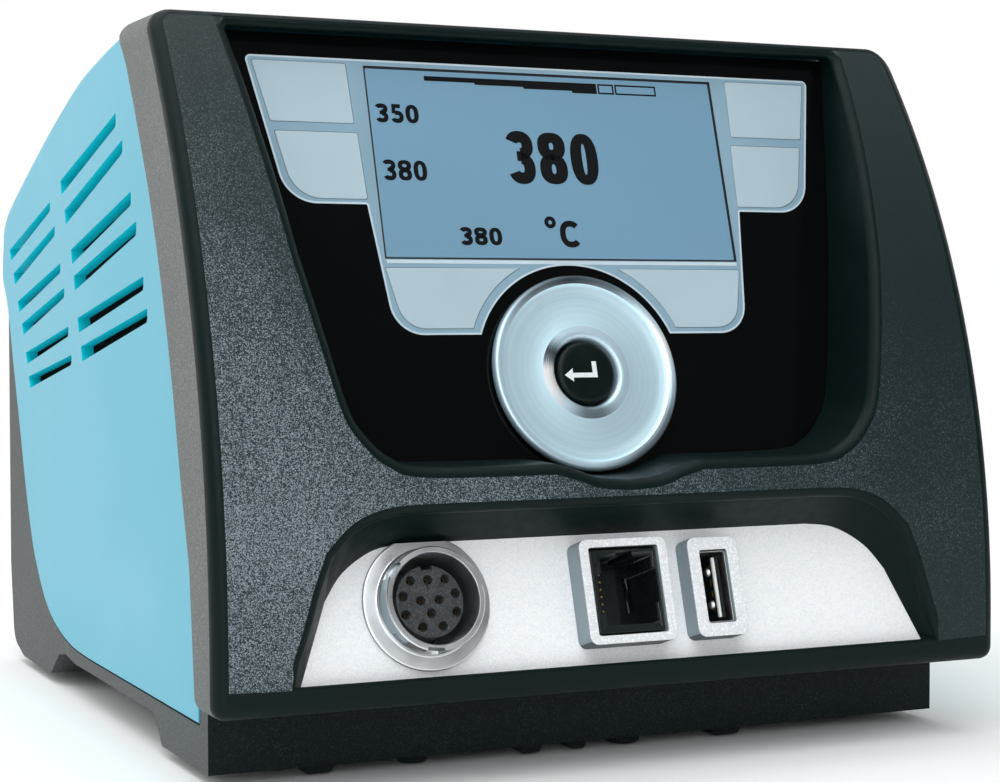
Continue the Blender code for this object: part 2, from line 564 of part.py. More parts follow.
for stem, x, y in (("front_left", -FOOT_X, FOOT_FRONT_Y), ("front_right", FOOT_X, FOOT_FRONT_Y),
                   ("rear_left", -FOOT_X, FOOT_REAR_Y), ("rear_right", FOOT_X, FOOT_REAR_Y)):
    lathe(f"foot_{stem}", [(0, 1.7), (FOOT_R, 1.7), (FOOT_R, 0.6), (FOOT_R - 0.6, 0.0), (0, 0)],
          shifted(FLOOR, x, y, 0), RUBBER_MAT, 20)

# ---------------------------------------------------------------- rear panel
panel_face = fillet([(-68.3, 10.2), (68.3, 10.2), (68.3, 98.4), (-68.3, 98.4)], 1.0, 1)
rear = outline("rear_panel", panel_face, -PANEL_Y[1], -PANEL_Y[0], FACE, PANEL_MAT)


def face_box(x, z, half_x, half_z):
    return [(x - half_x, z - half_z), (x + half_x, z - half_z), (x + half_x, z + half_z), (x - half_x, z + half_z)]


cut(rear, outline("inlet_cut", face_box(INLET_X, INLET_Z, 14.0, 15.6), -170, -150, FACE, None))
cut(rear, outline("switch_cut", face_box(SWITCH_X, SWITCH_Z, 6.9, 11.2), -170, -150, FACE, None))
BACK = matrix_of((0, 0, 0), (-1, 0, 0), (0, 0, 1))   # local (-x, z), Z along +Y
cut(rear, drum("bond_cut", 4.2, 150, 170, (-BOND_X, BOND_Z), BACK, None, 16))

inlet = outline("mains_inlet", fillet(face_box(INLET_X, INLET_Z, 15.5, 17.0), 2.0, 1), -159.9, -157.8, FACE, BLACK_MAT)
cut(inlet, outline("inlet_body", face_box(INLET_X, INLET_Z, 13.6, 15.2), -158.8, -139.0, FACE, None), "UNION")
cavity = fillet([(INLET_X - 12.0, INLET_Z - 5.0), (INLET_X + 12.0, INLET_Z - 5.0), (INLET_X + 12.0, INLET_Z + 6.5),
                 (INLET_X + 7.5, INLET_Z + 11.4), (INLET_X - 7.5, INLET_Z + 11.4), (INLET_X - 12.0, INLET_Z + 6.5)],
                0.8, 1)
cut(inlet, outline("inlet_cavity", cavity, -165.0, -143.6, FACE, None))
cut(inlet, outline("fuse_bay", face_box(INLET_X, INLET_Z - 10.9, 10.4, 3.5), -165.0, -141.0, FACE, None))
for stem, dx, dz in (("live", -7.0, 1.2), ("neutral", 7.0, 1.2), ("earth", 0.0, 5.2)):
    cut(inlet, outline(f"pin_slot_{stem}", face_box(INLET_X + dx, INLET_Z + dz, 1.3, 2.3), -150.0, -138.0, FACE, None))
    outline(f"inlet_pin_{stem}", face_box(INLET_X + dx, INLET_Z + dz, 1.0, 2.0), -155.2, -136.5, FACE, STEEL_MAT)
drawer = outline("fuse_drawer", face_box(INLET_X, INLET_Z - 10.9, 10.0, 3.1), -160.4, -141.6, FACE, BLACK_MAT)
cut(drawer, outline("drawer_bay", face_box(INLET_X, INLET_Z - 9.9, 8.6, 2.6), -156.5, -143.0, FACE, None))
cut(drawer, outline("drawer_grip", face_box(INLET_X, INLET_Z - 14.2, 3.0, 1.0), -161.5, -159.4, FACE, None))

frame = outline("switch_frame", fillet(face_box(SWITCH_X, SWITCH_Z, 8.0, 12.6), 1.0, 1), -159.6, -157.8, FACE, BLACK_MAT)
cut(frame, outline("switch_body", face_box(SWITCH_X, SWITCH_Z, 6.6, 10.9), -158.6, -141.0, FACE, None), "UNION")
cut(frame, outline("switch_bay", face_box(SWITCH_X, SWITCH_Z, 5.3, 9.5), -165.0, -144.0, FACE, None))
ROCK = matrix_of((SWITCH_X, 154.0, SWITCH_Z), (0, math.cos(math.radians(8)), -math.sin(math.radians(8))),
                 (0, math.sin(math.radians(8)), math.cos(math.radians(8))))
rocker = [(7.0, 7.9), (5.0, 0.0), (7.0, -7.9), (3.0, -8.3), (-5.5, -3.0), (-5.5, 3.0), (3.0, 8.3)]
outline("power_rocker", rocker, -4.9, 4.9, ROCK, BLACK_MAT)

lathe("bonding_socket",
      [(0, 148.0), (2.0, 148.0), (2.0, 161.4), (3.6, 161.4), (3.6, 160.6), (5.6, 160.6), (5.6, 157.8), (3.9, 157.8),
       (3.9, 146.0), (0, 146.0)],
      shifted(BACK, -BOND_X, BOND_Z, 0), CHROME_MAT, 20)

for stem, x, z in (("upper_left", -63.5, 93.5), ("upper_right", 63.5, 93.5),
                   ("lower_left", -63.5, 26.0), ("lower_right", 63.5, 26.0)):
    cut(rear, drum(f"panel_hole_{stem}", 1.9, 150, 170, (-x, z), BACK, None, 12))
    lathe(f"panel_screw_{stem}",
          [(0, 159.4), (2.0, 159.4), (3.0, 158.7), (3.0, 157.8), (1.5, 157.8), (1.5, 149.0), (0, 149.0)],
          shifted(BACK, -x, z, 0), STEEL_MAT, 12)

# ---------------------------------------------------------------- inside
lathe("toroid_transformer",
      [(TOROID_R, 12 + TOROID_H - 8), (TOROID_R, 20), (TOROID_R - 7, 12), (TOROID_HOLE + 6, 12), (TOROID_HOLE, 18),
       (TOROID_HOLE, 12 + TOROID_H - 6), (TOROID_HOLE + 6, 12 + TOROID_H), (TOROID_R - 7, 12 + TOROID_H)],
      shifted(FLOOR, *TOROID_AT, 0), COPPER_MAT, 32)
top = 12 + TOROID_H
lathe("transformer_washer",
      [(30.0, top + 1.9), (30.0, top + 0.4), (16.0, top + 0.4), (12.0, top - 2.6), (3.4, top - 2.6), (3.4, top - 1.1),
       (11.4, top - 1.1), (15.4, top + 1.9)],
      shifted(FLOOR, *TOROID_AT, 0), STEEL_MAT, 24)
lathe("transformer_bolt",
      [(0, top + 3.4), (5.0, top + 3.4), (5.0, top - 0.8), (3.0, top - 0.8), (3.0, 9.8), (0, 9.8)],
      shifted(FLOOR, *TOROID_AT, 0), STEEL_MAT, 12)

board = box("main_board", (-64.0, 44.0, 66.0), (64.0, 132.0, 67.6), FLOOR, BOARD_MAT)
for stem, x, y in (("front_left", -58.0, 49.0), ("front_right", 58.0, 49.0),
                   ("rear_left", -58.0, 126.0), ("rear_right", 58.0, 126.0)):
    lathe(f"board_pillar_{stem}",
          [(0, 70.0), (1.5, 70.0), (1.5, 65.7), (3.2, 65.7), (3.2, 9.8), (0, 9.8)],
          shifted(FLOOR, x, y, 0), ALU_MAT, 6)
    cut(board, drum(f"board_hole_{stem}", 1.9, 60, 72, (x, y), FLOOR, None, 12))
sink = box("heat_sink", (-45.0, 104.0, 67.9), (45.0, 128.0, 70.5), FLOOR, ALU_MAT)
for i in range(8):
    x = -43.5 + i * 12.1
    cut(sink, box(f"fin_{i}", (x, 104.0, 69.5), (x + 2.0, 128.0, 92.0), FLOOR, None), "UNION")
for stem, x in (("left", -24.0), ("right", 6.0)):
    lathe(f"capacitor_{stem}",
          [(0, 96.0), (9.6, 96.0), (11.0, 94.8), (11.0, 71.5), (10.4, 70.8), (11.0, 70.0), (11.0, 67.9), (0, 67.9)],
          shifted(FLOOR, x, 84.0, 0), BLACK_MAT, 16)
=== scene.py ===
"""Visual model of the soldering iron station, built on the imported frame."""
import json
import math

import bmesh
import bpy
from mathutils import Matrix, Vector, geometry

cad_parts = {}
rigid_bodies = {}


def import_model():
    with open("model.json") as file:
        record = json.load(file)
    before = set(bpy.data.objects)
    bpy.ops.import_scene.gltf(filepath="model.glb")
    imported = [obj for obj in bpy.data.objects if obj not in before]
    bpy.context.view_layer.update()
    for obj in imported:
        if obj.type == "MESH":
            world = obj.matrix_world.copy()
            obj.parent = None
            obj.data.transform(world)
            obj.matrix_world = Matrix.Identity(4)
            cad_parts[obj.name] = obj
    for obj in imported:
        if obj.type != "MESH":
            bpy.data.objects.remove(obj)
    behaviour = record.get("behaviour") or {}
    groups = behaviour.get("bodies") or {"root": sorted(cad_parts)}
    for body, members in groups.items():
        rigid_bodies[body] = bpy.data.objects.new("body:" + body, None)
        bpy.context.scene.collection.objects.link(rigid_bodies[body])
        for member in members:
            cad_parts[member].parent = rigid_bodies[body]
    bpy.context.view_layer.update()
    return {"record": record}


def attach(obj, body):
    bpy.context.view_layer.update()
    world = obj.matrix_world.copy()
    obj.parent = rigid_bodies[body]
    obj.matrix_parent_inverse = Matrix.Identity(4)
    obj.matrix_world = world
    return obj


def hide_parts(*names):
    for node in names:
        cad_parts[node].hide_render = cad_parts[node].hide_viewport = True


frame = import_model()

MM = 0.001
Y_SHIFT = -82.88
LEAN = math.radians(17.04)
GLASS_AT = (0.0, 22.3, 74.1)
PLATE_AT = (0.0, 1.5, 17.8)
WHEEL_T = -7.5
FRONT_R, FRONT_Z = 180.0, 21.0

scene = bpy.context.scene
pieces = bpy.data.collections.new("visual_pieces")
scene.collection.children.link(pieces)


# ------------------------------------------------------------------ frames
def matrix_of(origin, ex, ey):
    ex, ey = Vector(ex), Vector(ey)
    placed = Matrix((ex, ey, ex.cross(ey))).transposed().to_4x4()
    placed.translation = Vector((origin[0], origin[1] + Y_SHIFT, origin[2])) * MM
    return placed


UP_SLOPE = (0.0, math.sin(LEAN), math.cos(LEAN))
GLASS = matrix_of(GLASS_AT, (1, 0, 0), UP_SLOPE)
PLATE = matrix_of(PLATE_AT, (1, 0, 0), UP_SLOPE)
SIDE = matrix_of((0, 0, 0), (0, 1, 0), (0, 0, 1))
FACE = matrix_of((0, 0, 0), (1, 0, 0), (0, 0, 1))
FLOOR = matrix_of((0, 0, 0), (1, 0, 0), (0, 1, 0))
BACK = matrix_of((0, 0, 0), (-1, 0, 0), (0, 0, 1))


def shifted(matrix, x=0.0, y=0.0, z=0.0):
    return matrix @ Matrix.Translation(Vector((x, y, z)) * MM)


WHEEL = shifted(GLASS, 0, WHEEL_T, 0)


def front_y(z):
    rise = max(z, FRONT_Z) - FRONT_Z
    return -0.9 + FRONT_R - math.sqrt(FRONT_R ** 2 - rise ** 2)


def glass_y(z, out=0.0):
    return GLASS_AT[1] + (z - GLASS_AT[2]) * math.tan(LEAN) - out / math.cos(LEAN)


# ------------------------------------------------------------------ outlines
def mirrored(points):
    return list(points) + [(-u, v) for u, v in reversed(points) if abs(u) > 1e-6]


def smooth_line(points, steps=4):
    made = []
    padded = [points[0]] + list(points) + [points[-1]]
    for i in range(1, len(padded) - 2):
        p0, p1, p2, p3 = padded[i - 1:i + 3]
        for k in range(steps):
            t = k / steps
            made.append(tuple(
                0.5 * (2 * b + (c - a) * t + (2 * a - 5 * b + 4 * c - d) * t * t
                       + (3 * b - a - 3 * c + d) * t ** 3)
                for a, b, c, d in zip(p0, p1, p2, p3)))
    made.append(tuple(points[-1]))
    return made


def fillet(points, radii, segments=6):
    made = []
    count = len(points)
    for i, corner in enumerate(points):
        radius = radii[i] if isinstance(radii, (list, tuple)) else radii
        here = Vector(corner)
        a = Vector(points[i - 1]) - here
        b = Vector(points[(i + 1) % count]) - here
        if radius <= 0 or abs(a.angle(b) - math.pi) < 1e-3:
            made.append(tuple(here))
            continue
        half = a.angle(b) / 2
        reach = min(radius / math.tan(half), a.length * 0.49, b.length * 0.49)
        radius = reach * math.tan(half)
        start, end = here + a.normalized() * reach, here + b.normalized() * reach
        middle = here + (a.normalized() + b.normalized()).normalized() * (radius / math.sin(half))
        first, last = start - middle, end - middle
        sweep = first.angle_signed(last)
        for k in range(segments + 1):
            turn = -sweep * k / segments
            made.append((middle.x + first.x * math.cos(turn) - first.y * math.sin(turn),
                         middle.y + first.x * math.sin(turn) + first.y * math.cos(turn)))
    return made


def ring(radius, count, centre=(0.0, 0.0), start=0.0, end=math.tau):
    full = abs(end - start - math.tau) < 1e-9
    steps = count if full else count - 1
    return [(centre[0] + radius * math.cos(start + (end - start) * k / steps),
             centre[1] + radius * math.sin(start + (end - start) * k / steps))
            for k in range(count)]


def resample(points, count):
    lengths = [0.0]
    for a, b in zip(points, points[1:]):
        lengths.append(lengths[-1] + (Vector(b) - Vector(a)).length)
    made = []
    j = 0
    for k in range(count + 1):
        want = lengths[-1] * k / count
        while j < len(points) - 2 and lengths[j + 1] < want:
            j += 1
        span = lengths[j + 1] - lengths[j] or 1.0
        t = min(max((want - lengths[j]) / span, 0.0), 1.0)
        made.append(tuple(Vector(points[j]).lerp(Vector(points[j + 1]), t)))
    return made


def dense(points, step):
    """A closed outline with no side longer than step."""
    made = []
    for i, point in enumerate(points):
        a, b = Vector(point), Vector(points[(i + 1) % len(points)])
        parts = max(1, math.ceil((b - a).length / step))
        made += [tuple(a.lerp(b, k / parts)) for k in range(parts)]
    return made


def area_of(points):
    count = len(points)
    return sum(points[i][0] * points[(i + 1) % count][1] - points[(i + 1) % count][0] * points[i][1]
               for i in range(count)) / 2


def normals_of(points):
    """Outward normals of a closed outline, with the mitre already in their length."""
    turn = 1.0 if area_of(points) > 0 else -1.0
    made = []
    for i in range(len(points)):
        here = Vector(points[i])
        a = (here - Vector(points[i - 1])).normalized()
        b = (Vector(points[(i + 1) % len(points)]) - here).normalized()
        na, nb = Vector((a.y, -a.x)) * turn, Vector((b.y, -b.x)) * turn
        bisect = (na + nb).normalized()
        made.append(bisect / max(bisect.dot(na), 0.5))
    return made


def grown(points, by):
    widths = by if isinstance(by, (list, tuple)) else [by] * len(points)
    return [(p[0] + n.x * w, p[1] + n.y * w) for p, n, w in zip(points, normals_of(points), widths)]


def rounded_box(x, t, half_x, half_t, radius, segments=6):
    return fillet([(x - half_x, t - half_t), (x + half_x, t - half_t),
                   (x + half_x, t + half_t), (x - half_x, t + half_t)], radius, segments)


# ------------------------------------------------------------------ meshes
def finish_mesh(name, work, matrix, mats, sharp=40.0, smooth=True):
    """A mesh object; its points are put in the part frame, except on the wheel's own axis."""
    mesh = bpy.data.meshes.new(name)
    if matrix is not WHEEL:
        bmesh.ops.transform(work, matrix=matrix, verts=work.verts)
        matrix = Matrix.Identity(4)
    work.to_mesh(mesh)
    work.free()
    for mat in mats if isinstance(mats, (list, tuple)) else [mats]:
        mesh.materials.append(mat)
    if smooth:
        mesh.shade_smooth()
        mesh.set_sharp_from_angle(angle=math.radians(sharp))
    obj = bpy.data.objects.new(name, mesh)
    obj.matrix_world = matrix
    pieces.objects.link(obj)
    return obj


def loft(name, rings, matrix, mat, close=False, sharp=40.0):
    """Rings of the same count of local 3D points in mm; capped, or joined end to start."""
    work = bmesh.new()
    rows = [[work.verts.new(Vector(p) * MM) for p in row] for row in rings]
    pairs = list(zip(rows, rows[1:])) + ([(rows[-1], rows[0])] if close else [])
    for low, high in pairs:
        for i in range(len(low)):
            j = (i + 1) % len(low)
            work.faces.new((low[i], low[j], high[j], high[i]))
    if not close:
        work.faces.new(list(reversed(rows[0])))
        work.faces.new(rows[-1])
    bmesh.ops.remove_doubles(work, verts=work.verts, dist=1e-7)
    bmesh.ops.recalc_face_normals(work, faces=work.faces)
    return finish_mesh(name, work, matrix, mat, sharp)


def slab(name, points, low, high, matrix, mat, top=0.2, bottom=0.0, segments=3, sharp=40.0):
    """An outline given thickness, its upper and lower edges rolled by a radius in mm."""
    rows = []
    if bottom > 0:
        for k in range(segments + 1):
            a = math.pi / 2 * k / segments
            rows.append([(u, v, low + bottom * (1 - math.sin(a))) for u, v in grown(points, -bottom * (1 - math.cos(a)))])
        rows.reverse()
    else:
        rows.append([(u, v, low) for u, v in points])
    if top > 0:
        for k in range(segments + 1):
            a = math.pi / 2 * k / segments
            rows.append([(u, v, high - top * (1 - math.sin(a))) for u, v in grown(points, -top * (1 - math.cos(a)))])
    else:
        rows.append([(u, v, high) for u, v in points])
    return evened(loft(name, rows, matrix, mat, sharp=sharp))


def evened(obj):
    """Keeps flat faces flat beside their rolled edges."""
    even = obj.modifiers.new("even_normals", "WEIGHTED_NORMAL")
    even.keep_sharp = True
    return obj


def band(name, outer, inner, low, high, matrix, mat, roll=0.2, segments=3, sharp=40.0):
    """A frame between two outlines of the same count, its upper edges rolled."""
    rows = [[(u, v, low) for u, v in outer]]
    for k in range(segments + 1):
        a = math.pi / 2 * k / segments
        rows.append([(u, v, high - roll * (1 - math.sin(a))) for u, v in grown(outer, -roll * (1 - math.cos(a)))])
    for k in range(segments, -1, -1):
        a = math.pi / 2 * k / segments
        rows.append([(u, v, high - roll * (1 - math.sin(a))) for u, v in grown(inner, roll * (1 - math.cos(a)))])
    rows.append([(u, v, low) for u, v in inner])
    return evened(loft(name, rows, matrix, mat, close=True, sharp=sharp))


def turned(name, profile, matrix, mat, steps=96, sharp=35.0):
    """A turned piece; profile is (radius, height) in mm, in order round the section."""
    work = bmesh.new()
    rows = []
    for r, h in profile:
        if r < 1e-6:
            rows.append([work.verts.new((0.0, 0.0, h * MM))])
        else:
            rows.append([work.verts.new((r * math.cos(math.tau * k / steps) * MM,
                                         r * math.sin(math.tau * k / steps) * MM, h * MM)) for k in range(steps)])
    closed = profile[0][0] > 1e-6 and profile[-1][0] > 1e-6
    for low, high in list(zip(rows, rows[1:])) + ([(rows[-1], rows[0])] if closed else []):
        if len(low) == 1 and len(high) == 1:
            continue
        for k in range(steps):
            j = (k + 1) % steps
            if len(low) == 1:
                work.faces.new((low[0], high[j], high[k]))
            elif len(high) == 1:
                work.faces.new((low[k], low[j], high[0]))
            else:
                work.faces.new((low[k], low[j], high[j], high[k]))
    bmesh.ops.recalc_face_normals(work, faces=work.faces)
    return finish_mesh(name, work, matrix, mat, sharp)


def rolled(profile, radii, segments=4):
    """Rounds the corners of a turned profile; ends are kept."""
    made = []
    for i, corner in enumerate(profile):
        radius = radii if not isinstance(radii, dict) else radii.get(i, 0.0)
        if i in (0, len(profile) - 1) or radius <= 0:
            made.append(tuple(corner))
            continue
        here = Vector(corner)
        a, b = Vector(profile[i - 1]) - here, Vector(profile[i + 1]) - here
        if abs(a.angle(b) - math.pi) < 1e-2:
            made.append(tuple(corner))
            continue
        reach = min(radius / math.tan(a.angle(b) / 2), a.length * 0.45, b.length * 0.45)
        start, end = here + a.normalized() * reach, here + b.normalized() * reach
        for k in range(segments + 1):
            t = k / segments
            made.append(tuple(start * (1 - t) ** 2 + here * 2 * t * (1 - t) + end * t * t))
    return made


def carved(obj, cutters, how="DIFFERENCE", bevel=0.0, segments=2, limit=40.0, sharp=40.0):
    """Cuts obj by the cutters, keeps the result as plain mesh, and rounds its hard edges when a bevel width is given.
    """
    for cutter in cutters:
        step = obj.modifiers.new(cutter.name, "BOOLEAN")
        step.operation = how
        step.solver = "EXACT"
        step.object = cutter
    bpy.context.view_layer.update()
    graph = bpy.context.evaluated_depsgraph_get()
    baked = bpy.data.meshes.new_from_object(obj.evaluated_get(graph))
    obj.modifiers.clear()
    old = obj.data
    obj.data = baked
    mats = [m for m in old.materials]
    baked.materials.clear()
    for mat in mats:
        baked.materials.append(mat)
    bpy.data.meshes.remove(old)
    baked.name = obj.name
    for cutter in cutters:
        spare = cutter.data
        bpy.data.objects.remove(cutter, do_unlink=True)
        bpy.data.meshes.remove(spare)
    if len(mats) == 1:
        for polygon in baked.polygons:
            polygon.material_index = 0
    work = bmesh.new()
    work.from_mesh(baked)
    bmesh.ops.remove_doubles(work, verts=work.verts, dist=1e-6)
    bmesh.ops.dissolve_degenerate(work, edges=work.edges, dist=1e-6)
    work.to_mesh(baked)
    work.free()
    baked.shade_smooth()
    baked.set_sharp_from_angle(angle=math.radians(sharp))
    if bevel > 0:
        soften(obj, bevel, segments, limit)
    else:
        evened(obj)
    return obj


def soften(obj, width, segments=2, limit=40.0):
    obj.modifiers.clear()
    step = obj.modifiers.new("soft_edges", "BEVEL")
    step.width = width * MM
    step.segments = segments
    step.limit_method = "ANGLE"
    step.angle_limit = math.radians(limit)
    step.use_clamp_overlap = True
    step.harden_normals = False
    step.miter_outer = "MITER_ARC"
    even = obj.modifiers.new("even_normals", "WEIGHTED_NORMAL")
    even.keep_sharp = True
    return obj


def block(name, low, high, matrix, mat, roll=0.15):
    """A block between two corners in mm with all its edges rolled."""
    work = bmesh.new()
    bmesh.ops.create_cube(work, size=1.0)
    bmesh.ops.scale(work, vec=[(b - a) * MM for a, b in zip(low, high)], verts=work.verts)
    bmesh.ops.translate(work, vec=[(b + a) / 2 * MM for a, b in zip(low, high)], verts=work.verts)
    if roll:
        bmesh.ops.bevel(work, geom=list(work.edges), offset=roll * MM, segments=3, profile=0.5, affect="EDGES")
    return finish_mesh(name, work, matrix, mat)


def placed(obj, body, *nodes, slot=None):
    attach(obj, body)
    if nodes:
        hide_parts(*nodes)
    return obj


# ------------------------------------------------------------------ materials
class Surface:
    """A Principled material with short ways to add texture nodes."""

    def __init__(self, name):
        self.mat = bpy.data.materials.new(name)
        self.mat.use_nodes = True
        self.tree = self.mat.node_tree
        self.shader = self.tree.nodes["Principled BSDF"]
        self.coord = self.add("ShaderNodeTexCoord").outputs["Object"]

    def add(self, kind, ins=None, **props):
        node = self.tree.nodes.new(kind)
        for key, value in props.items():
            setattr(node, key, value)
        for key, value in (ins or {}).items():
            if isinstance(value, bpy.types.NodeSocket):
                self.tree.links.new(value, node.inputs[key])
            else:
                node.inputs[key].default_value = value
        return node

    def noise(self, scale, detail=3.0, rough=0.55, vector=None, distortion=0.0):
        return self.add("ShaderNodeTexNoise", {"Vector": vector or self.coord, "Scale": scale, "Detail": detail,
                                               "Roughness": rough, "Distortion": distortion}).outputs["Fac"]

    def ramp(self, factor, stops, mode="LINEAR"):
        node = self.add("ShaderNodeValToRGB", {"Fac": factor})
        node.color_ramp.interpolation = mode
        while len(node.color_ramp.elements) < len(stops):
            node.color_ramp.elements.new(0.5)
        for element, (at, colour) in zip(node.color_ramp.elements, stops):
            element.position = at
            element.color = (*colour, 1.0) if len(colour) == 3 else colour
        return node.outputs["Color"]

    def span(self, factor, low, high, from_low=0.0, from_high=1.0):
        return self.add("ShaderNodeMapRange", {"Value": factor, "From Min": from_low, "From Max": from_high,
                                               "To Min": low, "To Max": high}).outputs["Result"]

    def bump(self, height, strength, distance, below=None):
        ins = {"Height": height, "Strength": strength, "Distance": distance}
        if below is not None:
            ins["Normal"] = below
        return self.add("ShaderNodeBump", ins).outputs["Normal"]

    def set(self, **ins):
        names = {"colour": "Base Color", "rough": "Roughness", "metal": "Metallic", "normal": "Normal",
                 "spec": "Specular IOR Level", "coat": "Coat Weight", "coat_rough": "Coat Roughness",
                 "aniso": "Anisotropic", "tangent": "Tangent", "sheen": "Sheen Weight", "tint": "Specular Tint",
                 "glow": "Emission Color", "glow_strength": "Emission Strength", "ior": "IOR"}
        for key, value in ins.items():
            socket = self.shader.inputs[names[key]]
            if isinstance(value, bpy.types.NodeSocket):
                self.tree.links.new(value, socket)
            else:
                socket.default_value = (*value, 1.0) if isinstance(value, tuple) and len(value) == 3 else value
        return self.mat


def shade(colour, k):
    return tuple(min(c * k, 1.0) for c in colour)


def plastic(name, colour, rough=0.45, grain=1800.0, depth=0.35, vary=0.12, spec=0.5, coat=0.0):
    """Moulded plastic: fine spark-eroded grain, slow change of tone, uneven gloss."""
    s = Surface(name)
    slow = s.noise(35.0, 3.0)
    fine = s.noise(grain, 2.0, 0.6)
    mid = s.noise(grain * 0.22, 3.0, 0.5)
    normal = s.bump(mid, depth * 0.35, 0.00006)
    normal = s.bump(fine, depth, 0.00004, normal)
    return s.set(colour=s.ramp(slow, [(0.3, shade(colour, 1 - vary)), (0.7, shade(colour, 1 + vary))]),
                 rough=s.span(mid, max(rough - 0.07, 0.02), rough + 0.08, 0.3, 0.7), normal=normal, spec=spec,
                 coat=coat, coat_rough=0.12)


def flecked(name, dark, bright, scale, rough, depth, share=0.86, spec=0.5, vary=0.1, sheen_drift=None,
            between=None):
    """Textured paint or plastic whose single grains catch the light.

    A drift paints sheen: it changes how many grains show bright from place to place, standing in for where the light
    falls: (axis, from, there, to, there) each.
    """
    s = Surface(name)
    cells = s.add("ShaderNodeTexVoronoi", {"Vector": s.coord, "Scale": scale, "Randomness": 1.0})
    value = s.add("ShaderNodeSeparateColor", {"Color": cells.outputs["Color"]}).outputs["Red"]
    patchy = s.noise(60.0, 2.0)
    weighed = s.add("ShaderNodeMath", {0: value, 1: s.span(patchy, -0.05, 0.05, 0.35, 0.65)}, operation="ADD").outputs[0]
    if sheen_drift:
        place = s.add("ShaderNodeSeparateXYZ", {"Vector": s.coord})
        for axis, start, more, end, less in sheen_drift:
            shift = s.span(place.outputs[axis], more, less, start, end)
            weighed = s.add("ShaderNodeMath", {0: weighed, 1: shift}, operation="ADD").outputs[0]
    between = between or [(share * 0.6, dark), (share, shade(dark, 1 + 3 * vary)),
                          (share + (1 - share) * 0.5, tuple((a + b) / 2 for a, b in zip(dark, bright)))]
    colour = s.ramp(weighed, [(0.0, shade(dark, 1 - vary))] + between + [(1.0, bright)])
    fine = s.noise(scale * 0.55, 2.0, 0.6)
    normal = s.bump(cells.outputs["Distance"], depth * 0.5, 0.00008)
    normal = s.bump(fine, depth, 0.00008, normal)
    return s.set(colour=colour, rough=s.span(fine, rough - 0.08, rough + 0.1, 0.3, 0.7), normal=normal, spec=spec)


def metal(name, colour, rough, brushed=(1.0, 1.0, 1.0), scale=700.0, depth=0.15, vary=0.08):
    """Bare or plated metal; brushed stretches the grain along an axis."""
    s = Surface(name)
    vector = s.add("ShaderNodeMapping", {"Vector": s.coord, "Scale": brushed}).outputs["Vector"]
    fine = s.noise(scale, 4.0, 0.6, vector)
    slow = s.noise(50.0, 3.0)
    return s.set(colour=s.ramp(slow, [(0.3, shade(colour, 1 - vary)), (0.7, shade(colour, 1 + vary))]),
                 rough=s.span(fine, max(rough - 0.08, 0.03), rough + 0.1, 0.3, 0.7),
                 normal=s.bump(fine, depth, 0.00003), metal=1.0)


# Grained bezel front with painted sheen: its drifts give more bright grains on the left and fewer at the top and at the
# bottom, where the light falls less.
BEZEL_GRAIN_AND_SHEEN = flecked("bezel_grain_and_painted_sheen", (0.002, 0.013, 0.016), (0.24, 0.285, 0.315), 6800.0, 0.50, 0.60, 0.66, 0.35,
                      0.1, [("X", -0.075, 0.35, 0.075, -0.24), ("Z", 0.04, 0.05, 0.125, -0.72), ("Z", 0.015, -0.26, 0.06, 0.0)],
                      [(0.43, (0.002, 0.013, 0.016)), (0.61, (0.032, 0.049, 0.056)), (0.85, (0.11, 0.140, 0.155))])
# Smooth ungrained edge plastic, its colour darkened below the bezel's own as painted shade on the rolled and
# downward-facing edges.
BEZEL_LIP_SHADED = plastic("bezel_smooth_edge_shaded", (0.0015, 0.0075, 0.0082), 0.45, 2400.0, 0.06, 0.1, 0.14)
# Painted light: the bezel's side walls get a mid grey copy of its dark plastic, standing in for the strong light from
# the left.
BEZEL_SIDE_LIT = flecked("bezel_side_grain_lit", (0.068, 0.076, 0.072), (0.16, 0.17, 0.16), 4600.0, 0.62, 0.35, 0.80, 0.7)
# Painted light and shade: lit and shaded copies of the one dark base plastic, the grey one for the sides lit from the
# left, the near black one for the front faces.
BASE_SKIN_LIT = flecked("base_plastic", (0.036, 0.041, 0.040), (0.095, 0.100, 0.096), 4200.0, 0.60, 0.40, 0.78)
BASE_FRONT_SHADED = flecked("base_plastic_front_shaded", (0.0015, 0.0062, 0.0062), (0.018, 0.030, 0.031), 5200.0, 0.58, 0.30, 0.80, 0.2)
PLATE_SKIN = flecked("port_plate_silver", (0.90, 0.92, 0.95), (0.99, 0.99, 1.0), 4800.0, 0.45, 0.12, 0.6, 0.4, 0.04)
FRAME_SKIN = flecked("port_frame_silver", (0.72, 0.74, 0.76), (0.95, 0.96, 0.98), 3800.0, 0.45, 0.08, 0.65, 0.4, 0.02)
RUBBER = plastic("rubber", (0.014, 0.014, 0.015), 0.82, 2200.0, 0.5)
BLACK = plastic("black_plastic", (0.012, 0.012, 0.014), 0.38, 2000.0, 0.25)
BLACK_JACK = plastic("jack_plastic", (0.006, 0.010, 0.011), 0.30, 2600.0, 0.2)
BUTTON_SKIN = plastic("button_plastic", (0.0015, 0.006, 0.006), 0.34, 1600.0, 0.03, 0.05, 0.2)
INSERT_SKIN = flecked("socket_insert_plastic", (0.022, 0.026, 0.028), (0.10, 0.105, 0.11), 7500.0, 0.5, 0.5, 0.72)
# Painted shade: darker copies of the silver frame paint for the frames' sides and, darker still, their undersides.
FRAME_UNDER_SHADED = plastic("port_frame_underside_shaded", (0.075, 0.095, 0.105), 0.5, 2200.0, 0.08, 0.05, 0.3)
FRAME_SIDE_SHADED = plastic("port_frame_sides_shaded", (0.27, 0.335, 0.36), 0.45, 2200.0, 0.08, 0.05, 0.4)
